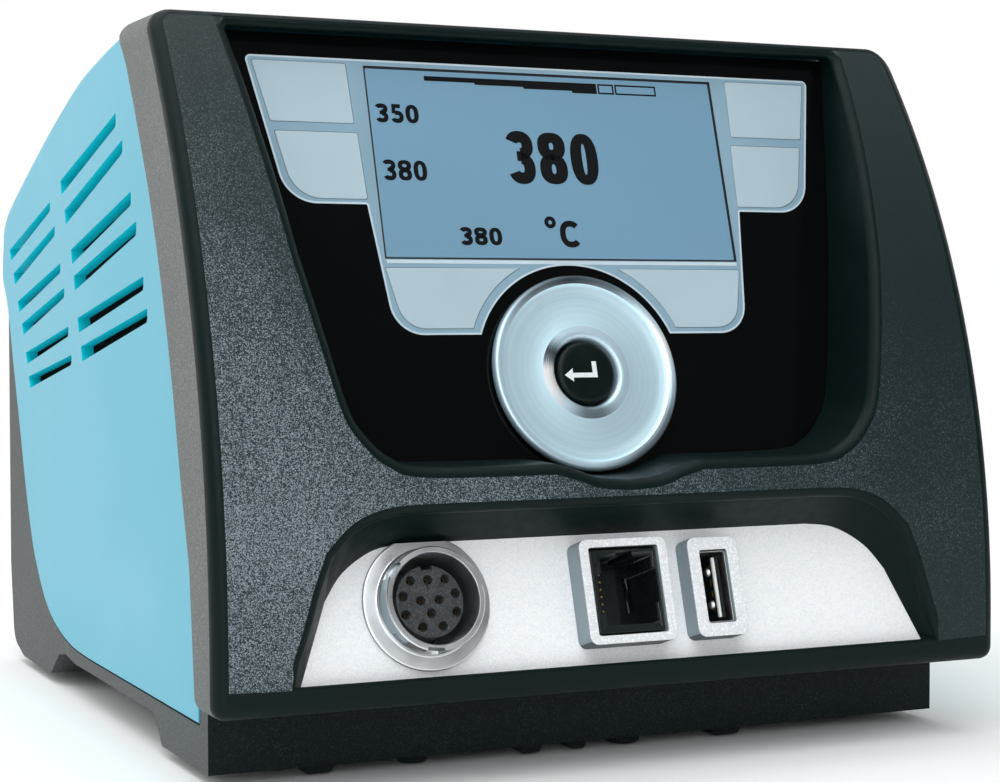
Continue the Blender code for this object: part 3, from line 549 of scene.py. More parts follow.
# Painted shade: a darker copy of the collar's bright metal for its outer sides.
COLLAR_SIDE_SHADED = metal("collar_side_shaded_metal", (0.26, 0.315, 0.34), 0.38, (1.0, 1.0, 1.0), 120.0, 0.01, 0.03)
# Painted shade: a darker copy of the gold for contacts deep in the socket holes.
GOLD_SHADED = metal("gold_contact_shaded", (0.20, 0.15, 0.08), 0.35)
COLLAR_BORE = plastic("collar_bore_shadow", (0.020, 0.026, 0.028), 0.45, 1800.0, 0.1)
WHITE = plastic("white_plastic", (0.72, 0.72, 0.68), 0.42, 1800.0, 0.15)
KEY_SKIN = plastic("key_pale", (0.41, 0.53, 0.59), 0.42, 1500.0, 0.12, 0.05, 0.3)
ROCKER_SKIN = plastic("rocker_plastic", (0.012, 0.012, 0.013), 0.22, 1600.0, 0.12)
STEEL = metal("zinc_steel", (0.58, 0.59, 0.60), 0.34)
BRIGHT = metal("bright_metal", (0.90, 0.92, 0.94), 0.34, (1.0, 1.0, 1.0), 120.0, 0.01, 0.02)
GOLD = metal("gold_contact", (0.80, 0.60, 0.25), 0.25)
ALU = metal("aluminium", (0.65, 0.66, 0.67), 0.38, (1.0, 12.0, 1.0), 500.0, 0.25)
REAR_SKIN = flecked("rear_panel_paint", (0.040, 0.045, 0.047), (0.075, 0.08, 0.082), 1500.0, 0.52, 0.55, 0.8)


def cover_material():
    s = Surface("cover_paint")
    slow = s.noise(14.0, 2.0)
    fine = s.noise(1500.0, 2.0, 0.6)
    # Painted sheen: the colour grows paler towards grazing view angles, standing in for the lamps' white reflection on
    # the saturated teal.
    sheen_facing = s.add("ShaderNodeLayerWeight", {"Blend": 0.42}).outputs["Facing"]
    colour = s.ramp(sheen_facing, [(0.0, (0.02, 0.31, 0.42)), (0.45, (0.035, 0.34, 0.46)), (1.0, (0.15, 0.45, 0.57))])
    return s.set(colour=colour, rough=s.span(slow, 0.40, 0.52, 0.3, 0.7),
                 normal=s.bump(fine, 0.22, 0.00004), spec=0.6)


def glass_material():
    s = Surface("panel_gloss")
    slow = s.noise(40.0, 2.0)
    return s.set(colour=s.ramp(slow, [(0.3, (0.0010, 0.0016, 0.0018)), (0.7, (0.0016, 0.0024, 0.0026))]),
                 rough=s.span(slow, 0.10, 0.16, 0.3, 0.7), spec=0.15,
                 normal=s.bump(s.noise(900.0, 2.0), 0.02, 0.00002))


def band_material():
    s = Surface("keypad_frame_print")
    slow = s.noise(60.0, 2.0)
    return s.set(colour=s.ramp(slow, [(0.3, (0.225, 0.355, 0.44)), (0.7, (0.25, 0.385, 0.475))]),
                 rough=0.35, spec=0.35, normal=s.bump(s.noise(1200.0, 2.0), 0.1, 0.00002))


def line_material():
    s = Surface("keypad_line_print")
    return s.set(colour=s.ramp(s.noise(80.0), [(0.3, (0.50, 0.60, 0.66)), (0.7, (0.58, 0.68, 0.74))]), rough=0.4,
                 spec=0.3, normal=s.bump(s.noise(1500.0, 2.0), 0.08, 0.00002))


def lcd_material():
    s = Surface("lcd_face")
    dots = s.add("ShaderNodeTexVoronoi", {"Vector": s.coord, "Scale": 2600.0, "Randomness": 0.1})
    slow = s.noise(16.0, 1.0)
    return s.set(colour=s.ramp(slow, [(0.3, (0.160, 0.300, 0.415)), (0.7, (0.185, 0.335, 0.455))]),
                 rough=0.30, spec=0.25, normal=s.bump(dots.outputs["Distance"], 0.05, 0.00002))


def wheel_material(name, around=None, rough=0.30, metallic=0.55):
    """Turned aluminium: fine rings about the wheel's axis, tangent round it.

    A ramp given for the angle round the axis paints highlights and shade into the colour, standing in for the sheen
    that a turned bevel shows from its lighter and darker sides; they turn with the wheel.
    """
    s = Surface(name)
    flat = s.add("ShaderNodeMapping", {"Vector": s.coord, "Scale": (1.0, 1.0, 0.0)}).outputs["Vector"]
    radius = s.add("ShaderNodeVectorMath", {0: flat}, operation="LENGTH").outputs["Value"]
    fine = s.add("ShaderNodeTexNoise", {"W": radius, "Scale": 9000.0, "Detail": 3.0, "Roughness": 0.7},
                 noise_dimensions="1D").outputs["Fac"]
    broad = s.add("ShaderNodeTexNoise", {"W": radius, "Scale": 900.0, "Detail": 2.0, "Roughness": 0.6},
                  noise_dimensions="1D").outputs["Fac"]
    tangent = s.add("ShaderNodeTangent", direction_type="RADIAL", axis="Z").outputs["Tangent"]
    normal = s.bump(broad, 0.22, 0.00006)
    normal = s.bump(fine, 0.30, 0.00002, normal)
    if around:
        sweep = s.add("ShaderNodeTexGradient", {"Vector": s.coord}, gradient_type="RADIAL").outputs["Fac"]
        streak = s.span(fine, -0.02, 0.02, 0.3, 0.7)
        turn = s.add("ShaderNodeMath", {0: sweep, 1: streak}, operation="ADD").outputs[0]
        colour = s.ramp(turn, around)
    else:
        colour = s.ramp(broad, [(0.35, (0.62, 0.85, 0.96)), (0.65, (0.69, 0.91, 1.0))])
    return s.set(colour=colour, rough=s.span(fine, rough, rough + 0.14, 0.3, 0.7), metal=metallic, normal=normal,
                 aniso=0.6, tangent=tangent)


def winding_material():
    s = Surface("winding")
    flat = s.add("ShaderNodeMapping", {"Vector": s.coord, "Location": (0.0, -0.00112, 0.0)}).outputs["Vector"]
    around = s.add("ShaderNodeTexGradient", {"Vector": flat}, gradient_type="RADIAL").outputs["Fac"]
    turns = s.add("ShaderNodeMath", {0: around, 1: 700.0}, operation="MULTIPLY").outputs[0]
    wave = s.add("ShaderNodeMath", {0: turns}, operation="SINE").outputs[0]
    tape = s.noise(90.0, 2.0)
    return s.set(colour=s.ramp(tape, [(0.3, (0.42, 0.30, 0.07)), (0.7, (0.55, 0.40, 0.10))]), rough=0.32, spec=0.6,
                 normal=s.bump(s.span(wave, 0.0, 1.0, -1.0, 1.0), 0.5, 0.0004))


def board_material():
    s = Surface("board_green")
    cells = s.add("ShaderNodeTexBrick", {"Vector": s.coord, "Scale": 160.0, "Color1": (0.012, 0.13, 0.05, 1.0),
                                         "Color2": (0.016, 0.16, 0.06, 1.0), "Mortar": (0.03, 0.24, 0.09, 1.0),
                                         "Mortar Size": 0.05})
    return s.set(colour=cells.outputs["Color"], rough=0.35, spec=0.5,
                 normal=s.bump(cells.outputs["Fac"], 0.25, 0.00005))


def ink_material(name, colour, rough=0.5):
    s = Surface(name)
    return s.set(colour=s.ramp(s.noise(400.0), [(0.3, shade(colour, 0.85)), (0.7, shade(colour, 1.1))]), rough=rough,
                 spec=0.2)


def floor_material():
    """Pale paper near the object, evening out to plain white away from it."""
    s = Surface("studio_floor")
    s.set(colour=s.ramp(s.noise(6.0, 2.0), [(0.3, (0.90, 0.90, 0.895)), (0.7, (0.93, 0.93, 0.925))]), rough=0.7,
          spec=0.2, normal=s.bump(s.noise(300.0), 0.02, 0.0005))
    away = s.add("ShaderNodeVectorMath", {0: s.coord}, operation="LENGTH").outputs["Value"]
    far = s.add("ShaderNodeMapRange", {"Value": away, "From Min": 0.16, "From Max": 0.62, "To Min": 0.0, "To Max": 1.0},
                interpolation_type="SMOOTHSTEP").outputs["Result"]
    white = s.add("ShaderNodeEmission", {"Color": (1.0, 1.0, 1.0, 1.0), "Strength": 1.0})
    blend = s.add("ShaderNodeMixShader", {0: far, 1: s.shader.outputs["BSDF"], 2: white.outputs["Emission"]})
    out = next(n for n in s.tree.nodes if n.type == "OUTPUT_MATERIAL")
    s.tree.links.new(blend.outputs["Shader"], out.inputs["Surface"])
    return s.mat


COVER = cover_material()
# Painted light: the vent reveals get a brighter, more saturated teal than the cover, standing in for light bounced
# inside the slots.
REVEAL_BOUNCE_LIT = plastic("cover_vent_edges_bounce_lit", (0.001, 0.62, 0.74), 0.5, 1500.0, 0.15, 0.05, 0.15)
GLOSS = glass_material()
BAND = band_material()
LINE = line_material()
LCD = lcd_material()
TURNED = wheel_material("wheel_metal")
# Tones for painted highlights and shade on the rim and hub: pale base, grey and dark painted shade, white painted
# highlight.
PALE, SHADE_GREY, SHADE_DARK, HIGHLIGHT = (0.58, 0.76, 0.86), (0.17, 0.22, 0.25), (0.035, 0.05, 0.06), (0.98, 0.99, 1.0)
RIM_PAINTED_GLINTS = wheel_material("wheel_rim_painted_glints", [(0.0, PALE), (0.24, PALE), (0.33, SHADE_GREY), (0.42, SHADE_GREY), (0.49, PALE), (0.55, HIGHLIGHT),
                                                (0.62, PALE), (0.67, SHADE_GREY), (0.76, SHADE_DARK), (0.84, SHADE_GREY), (0.93, PALE), (1.0, PALE)])
HUB_PAINTED_GLINTS = wheel_material("wheel_hub_painted_glints", [(0.0, HIGHLIGHT), (0.06, HIGHLIGHT), (0.15, PALE), (0.22, SHADE_GREY), (0.29, SHADE_GREY), (0.37, PALE),
                                                (0.75, PALE), (0.85, PALE), (0.91, SHADE_DARK), (0.95, SHADE_GREY), (0.985, HIGHLIGHT), (1.0, HIGHLIGHT)])
WINDING = winding_material()
BOARD = board_material()
INK = ink_material("lcd_segment_ink", (0.0006, 0.0016, 0.0026), 0.8)
MARK = ink_material("button_mark_ink", (0.80, 0.84, 0.86), 0.4)
LABEL = ink_material("label_foil", (0.45, 0.46, 0.47), 0.35)
SLEEVE = plastic("capacitor_sleeve", (0.010, 0.014, 0.030), 0.28, 900.0, 0.1)

SLOTS = {"bezel_plastic": BEZEL_GRAIN_AND_SHEEN, "base_plastic": BASE_SKIN_LIT, "cover_paint": COVER, "panel_gloss": GLOSS,
         "key_pale": KEY_SKIN, "lcd_face": LCD, "wheel_metal": TURNED, "black_plastic": BLACK,
         "silver_paint": PLATE_SKIN, "bright_metal": BRIGHT, "gold_contact": GOLD, "zinc_steel": STEEL,
         "white_plastic": WHITE, "board_green": BOARD, "winding": WINDING, "aluminium": ALU, "rubber": RUBBER,
         "rear_panel_paint": REAR_SKIN}
for part in frame["record"]["subparts"]:
    node = bpy.data.objects[part["node"]]
    wanted = SLOTS[part["material_slot"]]
    if part["node"].startswith("capacitor"):
        wanted = SLEEVE
    if not node.material_slots:
        node.data.materials.append(wanted)
    for held in node.material_slots:
        held.link = "OBJECT"
        held.material = wanted


# ------------------------------------------------------------------ front bezel
HALF, TOP, BOTTOM = 75.5, 130.0, 13.5
REAR_EDGE = [(13.5, 8.9), (14.6, 9.9), (26.2, 11.3), (36.9, 12.6), (47.5, 16.2), (54.0, 18.2), (63.7, 20.9),
             (73.6, 24.2), (83.7, 28.1), (90.3, 31.0), (98.9, 35.1), (106.0, 39.3), (113.2, 43.6), (122.0, 49.3),
             (127.5, 54.7), (200.0, 54.7)]


def rear_y(z):
    for (z0, y0), (z1, y1) in zip(REAR_EDGE, REAR_EDGE[1:]):
        if z <= z1:
            return y0 + (y1 - y0) * max(z - z0, 0.0) / (z1 - z0)
    return REAR_EDGE[-1][1]


opening = mirrored(smooth_line([(0, 49.4), (5.6, 49.9), (9.8, 51.3), (14.0, 52.5)], 5)[:-1] + smooth_line(
    [(14.0, 52.5), (37.4, 52.7), (43.8, 54.4), (48.0, 58.2), (50.6, 63.0), (53.6, 75.5)], 6)[:-1] + [
    (53.6, 75.5), (56.2, 88.0), (59.2, 107.9), (61.0, 121.0), (61.8, 126.9), (61.2, 127.6)])
opening = dense(opening, 1.6)
if area_of(opening) < 0:
    opening.reverse()
opening_lip = [max(0.3, min(1.8, 0.75 * (glass_y(z) - front_y(z)) - 0.1)) for x, z in opening]

front_half = (resample(smooth_line([(62.0, 18.3), (59.0, 26.5), (57.0, 33.0), (54.8, 38.5)], 6), 16)[:-1]
              + resample(smooth_line([(54.8, 38.5), (50.5, 42.5), (45.0, 44.5), (38.0, 44.9)], 6), 16)[:-1]
              + resample([(38.0, 44.9), (0.0, 44.9)], 24))
plate_half = (resample([(60.3, 0.1), (54.7, 13.7)], 16)[:-1]
              + resample(smooth_line([(54.7, 13.7), (51.1, 18.3), (45.3, 21.8), (39.1, 22.7)], 6), 16)[:-1]
              + resample([(39.1, 22.7), (0.0, 22.7)], 24))
floor_run = [(-62.0 + 124.0 * k / 60, 18.3) for k in range(1, 60)]
plate_run = [(-60.3 + 120.6 * k / 60, 0.1) for k in range(1, 60)]
recess = mirrored(front_half) + floor_run
seat = mirrored(plate_half) + plate_run
if area_of(recess) < 0:
    recess.reverse()
    seat.reverse()
recess_lip = [0.45 + 1.35 * min(max((z - 18.6) / 3.0, 0.0), 1.0) for x, z in recess]

rim = dense(fillet([(-HALF, BOTTOM), (HALF, BOTTOM), (HALF, TOP), (-HALF, TOP)], [2.5, 2.5, 4.5, 4.5], 8), 2.2)
rim_unit = [n.normalized() for n in normals_of(rim)]
rim_roll = [2.4 * n.x ** 2 + (0.9 if n.y > 0 else 2.3) * n.y ** 2 for n in rim_unit]


def inside(point, polygon):
    x, y = point
    hit = False
    for i in range(len(polygon)):
        (x0, y0), (x1, y1) = polygon[i - 1], polygon[i]
        if (y0 > y) != (y1 > y) and x < (x1 - x0) * (y - y0) / (y1 - y0) + x0:
            hit = not hit
    return hit


def near(point, polygon, gap):
    here = Vector(point)
    for i in range(len(polygon)):
        a, b = Vector(polygon[i - 1]), Vector(polygon[i])
        along = b - a
        t = min(max((here - a).dot(along) / max(along.length_squared, 1e-9), 0.0), 1.0)
        if (a + along * t - here).length < gap:
            return True
    return False


def bezel_piece():
    outer = grown(rim, [-w for w in rim_roll])
    hole_a, hole_b = grown(opening, opening_lip), grown(recess, recess_lip)
    work = bmesh.new()

    def vertex(x, y, z):
        return work.verts.new(Vector((x, y + Y_SHIFT, z)) * MM)

    # skin
    flat, edges = [], []
    for loop in (outer, hole_a, hole_b):
        base = len(flat)
        flat += [Vector(p) for p in loop]
        edges += [(base + i, base + (i + 1) % len(loop)) for i in range(len(loop))]
    divide = []
    for sign in (-1, 1):
        a = min(range(len(outer)), key=lambda i: abs(outer[i][1] - 17.4) + (0 if outer[i][0] * sign > 70 else 99))
        b = min(range(len(hole_b)), key=lambda i: abs(hole_b[i][0] * sign - 62.6) + abs(hole_b[i][1] - 17.9))
        edges.append((a, len(outer) + len(hole_a) + b))
        divide.append((outer[a][1], hole_b[b][1], abs(hole_b[b][0])))
    low_side, low_hole, low_x = divide[0]

    def below(p):
        t = min(max((abs(p.x) - low_x) / (73.1 - low_x), 0.0), 1.0)
        return p.y < low_hole + (low_side - low_hole) * t

    step = 2.4
    for i in range(int(2 * HALF / step) + 1):
        for j in range(int((TOP - BOTTOM) / step) + 1):
            p = (-HALF + (i + 0.5 * (j % 2)) * step, BOTTOM + 0.7 + j * step)
            if (inside(p, outer) and not inside(p, hole_a) and not inside(p, hole_b)
                    and not near(p, outer, 1.0) and not near(p, hole_a, 1.0) and not near(p, hole_b, 1.0)):
                flat.append(Vector(p))
    verts, _, faces, *_ = geometry.delaunay_2d_cdt(flat, edges, [], 1, 1e-5)
    made = [vertex(v.x, front_y(v.y), v.y) for v in verts]
    for face in faces:
        middle = sum((verts[i] for i in face), Vector((0, 0))) / len(face)
        if inside(middle, outer) and not inside(middle, hole_a) and not inside(middle, hole_b):
            laid = work.faces.new([made[i] for i in face])
            # Below the port recess the skin takes the smooth edge material with its painted shade.
            laid.material_index = 1 if below(middle) else 0

    def strip(rows, index):
        for low, high, slot in zip(rows, rows[1:], index):
            for i in range(len(low)):
                j = (i + 1) % len(low)
                quad = [low[i], low[j], high[j], high[i]]
                if len({tuple(round(c, 8) for c in v.co) for v in quad}) < 3:
                    continue
                work.faces.new(quad).material_index = slot

    # outer edge and side walls
    turns = 6
    rows = []
    for k in range(turns + 1):
        a = math.pi / 2 * k / turns
        loop = grown(rim, [-w * (1 - math.sin(a)) for w in rim_roll])
        rows.append([vertex(x, front_y(z) + w * (1 - math.cos(a)), z) for (x, z), w in zip(loop, rim_roll)])
    rows.append([vertex(x, front_y(z) + w + 0.35, z) for (x, z), w in zip(rim, rim_roll)])
    rows.append([vertex(x, rear_y(z) - 0.3, z) for x, z in rim])
    tucked = grown(rim, -0.3)
    rows.append([vertex(x, rear_y(z), zz) for (x, zz), (_, z) in zip(tucked, rim)])
    # The rolled outer edge takes the smooth edge material with its painted shade; the side walls take the side
    # material, which paints light.
    strip(rows, [1] * turns + [2, 2, 2])
    # display opening
    rows = []
    for k in range(turns + 1):
        a = math.pi / 2 * k / turns
        loop = grown(opening, [w * (1 - math.sin(a)) for w in opening_lip])
        rows.append([vertex(x, front_y(z) + w * (1 - math.cos(a)), z) for (x, z), w in zip(loop, opening_lip)])
    rows.append([vertex(x, max(glass_y(z, 0.06), front_y(z) + w + 0.02), z) for (x, z), w in zip(opening, opening_lip)])
    # The display opening's lip takes the smooth edge material with its painted shade.
    strip(rows, [1] * (turns + 1))
    # port recess
    rows = []
    for k in range(turns + 1):
        a = math.pi / 2 * k / turns
        loop = grown(recess, [w * (1 - math.sin(a)) for w in recess_lip])
        rows.append([vertex(x, front_y(z) + w * (1 - math.cos(a)), z) for (x, z), w in zip(loop, recess_lip)])
    ends = []
    for x, t in seat:
        p = PLATE @ (Vector((x, t, 0.06)) * MM)
        ends.append(work.verts.new(p))
    rows.append(ends)
    # The recess lip takes the smooth edge material with its painted shade.
    strip(rows, [1] * (turns + 1))
    bmesh.ops.remove_doubles(work, verts=work.verts, dist=2e-6)
    bmesh.ops.dissolve_degenerate(work, edges=work.edges, dist=1e-7)
    bmesh.ops.recalc_face_normals(work, faces=work.faces)
    forward = max(work.faces, key=lambda f: f.calc_area() if abs(f.normal.x) > 0.99 else 0.0)
    if forward.normal.x * forward.calc_center_median().x < 0:
        bmesh.ops.reverse_faces(work, faces=work.faces)
    obj = finish_mesh("bezel_shell", work, Matrix.Identity(4), [BEZEL_GRAIN_AND_SHEEN, BEZEL_LIP_SHADED, BEZEL_SIDE_LIT], 50.0)
    shell = obj.modifiers.new("wall", "SOLIDIFY")
    shell.thickness = 0.8 * MM
    shell.offset = -1.0
    shell.use_even_offset = False
    shell.use_quality_normals = True
    even = obj.modifiers.new("even_normals", "WEIGHTED_NORMAL")
    even.keep_sharp = True
    return placed(obj, "station", "front_bezel", slot="bezel_plastic")


bezel_piece()

# ------------------------------------------------------------------ hood
slant = [(167.4, 85.4), (162.3, 78.3), (157.6, 66.8), (151.3, 52.2), (146, 39.5), (141.6, 30.9),
         (137.3, 24.7), (128.7, 17.1), (119.4, 13.0), (106.4, 10.5), (92.6, 9.9)]
crown = [(55.2, 129.3), (67.8, 128.2), (83, 125.9), (98.2, 122.9), (120.9, 116), (144.1, 107.8),
         (159.5, 101.9), (164.4, 99.2), (167.3, 96.0), (168.2, 91.9)]
cover_front = [(10.3, BOTTOM), (10.3, 16.5), (8.6, 16.7)] + smooth_line(
    [(9.4, 26.2), (10.8, 36.9), (14.4, 47.6), (17.0, 54), (19.5, 63.7), (22.6, 73.6), (26.0, 83.7), (29.2, 90.3),
     (33.2, 98.9), (37.4, 106), (41.6, 113.2), (44.6, 120.0), (46.6, 126.5)], 3)
crown_line = [(min(u, 168.2), min(v, 129.3)) for u, v in smooth_line(crown, 6)]
tail_line = smooth_line([crown[-1]] + slant, 6)[1:]
tail_line = [(min(u, 168.2), v) for u, v in tail_line]
hood_line = cover_front + [(55.2, 126.8)] + crown_line + tail_line + [(19.1, 9.9), (19.1, BOTTOM)]


def hood_roll(u, v):
    if v > 100 and u > 57:
        return 0.7 + 1.5 * min((u - 57.0) / 100.0, 1.0)
    if u > 158 and v > 84:
        return 2.2 * min(max((v - 84.0) / 8.0, 0.12), 1.0)
    return 0.25


def hood_piece():
    roll = [hood_roll(u, v) for u, v in hood_line]
    rows = []
    turns = 6
    for k in range(turns + 1):
        a = math.pi / 2 * k / turns
        loop = grown(hood_line, [-w * (1 - math.sin(a)) for w in roll])
        rows.append([(u, v, 72.0 - w * (1 - math.cos(a))) for (u, v), w in zip(loop, roll)])
    other = [[(u, v, -w) for u, v, w in row] for row in rows]
    obj = loft("hood_shell", other + list(reversed(rows)), SIDE, COVER, sharp=30.0)
    inner = [(30.0, 124.3), (56.0, 124.3), (56.5, 126.6), (67.6, 125.7), (82.6, 123.4), (97.6, 120.4), (120, 113.6),
             (143.3, 105.4), (158.5, 99.6), (162.7, 97.2), (165.0, 94.6), (165.7, 91.7), (165.2, 87.6),
             (175.0, 87.6), (175.0, 2.0), (0.0, 2.0), (0.0, 100.0)]
    cutters = [slab("hood_hollow", inner, -69.5, 69.5, SIDE, COVER, 0.0)]
    front_column = [(112.2, 104.4, 68.8, 114.8), (108.8, 98.3, 64.3, 109.6), (103.8, 90.3, 58.7, 99.9),
                    (101.7, 85.0, 55.3, 94.4), (98.8, 76.7, 50.8, 84.5), (96.3, 71.1, 48.4, 78.8)]
    rear_column = [(160.0, 91.4, 121.2, 100.6), (156.3, 86.1, 117.2, 95.5), (152.2, 80.0, 112.7, 87.8),
                   (148.4, 75.1, 109.5, 82.8), (144.8, 68.9, 106.3, 75.0), (142.2, 63.8, 104.0, 69.3)]
    vents = []
    for stem, column, height, lean in (("front", front_column, 2.9, 0.9), ("rear", rear_column, 2.4, 1.5)):
        for i, (y1, z1, y0, z0) in enumerate(column):
            shape = fillet([(y0, z0), (y0 + 0.1, z0 - height + 0.4), (y1 - lean, z1 - height), (y1, z1)],
                           [0.35, 1.1, 0.2, 0.3], 5)
            vents.append(grown(shape, 0.25))
            cutters.append(slab(f"vent_{stem}_{i}", shape, -90.0, 90.0, SIDE, COVER, 0.0))
    carved(obj, cutters, sharp=30.0)
    obj.data.materials.append(REVEAL_BOUNCE_LIT)
    # Faces inside the vents take the brighter teal, painted bounced light.
    for face in obj.data.polygons:
        at = face.center / MM
        if abs(face.normal.x) < 0.5 and any(inside((at.y - Y_SHIFT, at.z), vent) for vent in vents):
            face.material_index = 1
    soften(obj, 0.18, 2, 55.0)
    return placed(obj, "station", "hood_cover", slot="cover_paint")


hood_piece()


# ------------------------------------------------------------------ lower housing
def housing_piece():
    cheek = [(166.0, 84.0)] + [(u + 0.45, v - 0.3) for u, v in slant[1:]]
    edge = [(u, v) for u, v in smooth_line(cheek, 5) if u < 162.2]
    line = (fillet([(14.5, 2.0), (41.7, 2.0), (46.5, 7.1), (104.0, 7.1), (112.0, 8.0), (117.5, 7.0), (125.0, 2.0),
                    (150.0, 2.0), (159.5, 4.6), (162.3, 21.8)], [0, 1.6, 1.6, 0, 2, 2, 1.6, 3, 5, 0], 5)[:-1]
            + [(162.3, 21.8), (162.3, 77.0)] + edge + [(19.0, 9.5), (18.8, 13.1), (14.5, 13.1)])
    obj = slab("housing_shell", line, -71.8, 71.8, SIDE, BASE_SKIN_LIT, 0.0, sharp=35.0)
    hollow = [(17.5, 4.5), (42.5, 4.5), (46.0, 9.4), (122.0, 9.4), (127.5, 4.5), (150.0, 4.5), (159.0, 9.0),
              (159.3, 20.0), (175.0, 20.0), (175.0, 120.0), (17.5, 120.0)]
    cutters = [slab("housing_hollow", hollow, -68.8, 68.8, SIDE, BASE_SKIN_LIT, 0.0)]
    for stem, x, y in (("a", -40.0, 33.0), ("b", 40.0, 33.0), ("c", -40.0, 142.0), ("d", 40.0, 142.0)):
        cutters.append(turned(f"bore_{stem}", [(0, 6.0), (1.9, 6.0), (1.9, 3.6), (3.7, 3.6), (3.7, 1.0), (0, 1.0)],
                              shifted(FLOOR, x, y, 0), BASE_SKIN_LIT, 40))
    for i in range(9):
        x = -40.0 + 10.0 * i
        if abs(x) > 12:
            cutters.append(slab(f"under_slot_{i}", rounded_box(x, 75.0, 1.4, 14.0, 1.4), 5.0, 11.0, FLOOR, BASE_SKIN_LIT, 0.0))
    carved(obj, cutters, sharp=35.0)
    lugs = []
    for i, (x0, x1, y0, y1) in enumerate(((-55.4, -49.2, 15.6, 22.0), (-15.2, -10.0, 15.6, 21.0),
                                          (-5.6, -1.2, 15.6, 21.0), (23.6, 30.6, 15.6, 22.0))):
        lugs.append(slab(f"under_lug_{i}", fillet([(x0, 2.6), (x0 + 1.2, 0.5), (x1 - 0.6, 0.5), (x1, 2.6)],
                                                  [0, 0.7, 0.7, 0], 4), 0.0, y1 - y0,
                         shifted(FACE, 0, 0, -y1), BASE_SKIN_LIT, 0.3, 0.3))
    for i, (x, radius) in enumerate(((-34.0, 2.7), (7.3, 3.2))):
        lugs.append(turned(f"under_stud_{i}", [(0, 2.8), (radius, 2.8), (radius, 0.9), (radius - 0.4, 0.5), (0, 0.5)],
                           shifted(FLOOR, x, 18.8, 0), BASE_SKIN_LIT, 40))
    carved(obj, lugs, "UNION", sharp=35.0)
    # Painted shade: front-facing faces and the low front underside take the shaded copy; the rest keeps the lit copy.
    obj.data.materials.append(BASE_FRONT_SHADED)
    for face in obj.data.polygons:
        at = face.center / MM
        if face.normal.y < -0.6 or (at.z < 2.1 and at.y - Y_SHIFT < 24.0):
            face.material_index = 1
    soften(obj, 0.4, 3, 50.0)
    return placed(obj, "station", "lower_housing", slot="base_plastic")


housing_piece()

# ------------------------------------------------------------------ control panel
key_upper = fillet([(38.9, 50.3), (56.5, 50.3), (54.1, 38.9), (38.5, 38.9)], 0.4, 4)
key_lower = fillet([(38.1, 37.2), (53.6, 37.2), (51.0, 24.8), (37.6, 24.8)], [0.4, 0.4, 6.0, 0.4], 14)
arch_r = 22.1
arch = ring(arch_r, 18, (0.0, WHEEL_T), math.asin(8.6 / arch_r), math.acos(9.8 / arch_r))
key_bottom = ([(9.9, 12.3)] + list(reversed(arch))[1:-1]
              + fillet([(20.3, 1.1), (33.4, 1.1), (35.8, 12.3), (9.9, 12.3)], [0, 5.0, 0.4, 0], 12)[:-1])
shapes = {"key_upper": key_upper, "key_lower": key_lower, "key_bottom": key_bottom}


def panel_piece():
    edge = fillet([(-67.0, 55.7), (-66.0, 10.0), (-57.0, -22.0), (-51.0, -27.6), (51.0, -27.6),
                   (57.0, -22.0), (66.0, 10.0), (67.0, 55.7)], 2.0, 5)
    obj = slab("panel_glass", edge, -2.0, 0.0, GLASS, GLOSS, 0.15)
    cutters = []
    for side, sign in (("right", 1.0), ("left", -1.0)):
        for stem, shape in shapes.items():
            points = [(u * sign, v) for u, v in shape]
            cutters.append(slab(f"{stem}_{side}_pocket", grown(points, 0.28), -3.0, 1.0, GLASS, GLOSS, 0.0))
    cutters.append(slab("lcd_window", [(-35.6, 13.9), (35.6, 13.9), (35.6, 50.1), (-35.6, 50.1)], -3.0, 1.0, GLASS,
                        GLOSS, 0.0))
    cutters.append(turned("wheel_hole", [(0, 1.0), (8.5, 1.0), (8.5, -3.0), (0, -3.0)], WHEEL, GLOSS, 72))
    carved(obj, cutters)
    return placed(obj, "station", "control_panel", slot="panel_gloss")


panel_piece()

arch_out = ring(20.4, 44, (0.0, WHEEL_T), math.asin(7.5 / 20.4), math.pi / 2)
frame_half = (fillet([(0.0, 51.2), (57.7, 51.2), (52.5, 23.9), (37.8, 23.9), (35.2, 0.0), (18.97, 0.0)],
                     [0, 1.0, 6.6, 0.3, 6.0, 0], 12)[:-1] + arch_out)
frame_line = mirrored([p for p in frame_half])


def keypad_print():
    obj = slab("keypad_frame_print", frame_line, 0.02, 0.12, GLASS, BAND, 0.04)
    cutters = []
    for side, sign in (("right", 1.0), ("left", -1.0)):
        for stem, shape in shapes.items():
            points = [(u * sign, v) for u, v in shape]
            cutters.append(slab(f"{stem}_{side}_gap", grown(points, 0.06), -1.0, 1.0, GLASS, BAND, 0.0))
    cutters.append(slab("lcd_gap", [(-35.6, 13.9), (35.6, 13.9), (35.6, 50.1), (-35.6, 50.1)], -1.0, 1.0, GLASS, BAND,
                        0.0))
    carved(obj, cutters)
    placed(obj, "station", slot="key_pale")
    rimmed = band("keypad_frame_line", frame_line, grown(frame_line, -0.34), 0.13, 0.17, GLASS, LINE, 0.01, 1)
    placed(rimmed, "station", slot="key_pale")
    strip = slab("keypad_lower_strip", [(-35.4, 13.1), (35.4, 13.1), (35.4, 13.75), (-35.4, 13.75)], 0.13, 0.17, GLASS,
                 LINE, 0.01, 0.0, 1)
    placed(strip, "station", slot="key_pale")
    # Painted shadow: a thin black band round the screen stands in for the shade at the edge of its recess.
    recess_shadow = band("lcd_recess_shadow", [(-35.55, 13.95), (35.55, 13.95), (35.55, 50.05), (-35.55, 50.05)],
                  [(-35.25, 14.2), (35.25, 14.2), (35.25, 49.75), (-35.25, 49.75)], -0.6, -0.02, GLASS, BLACK, 0.03, 2)
    placed(recess_shadow, "station", slot="black_plastic")


keypad_print()

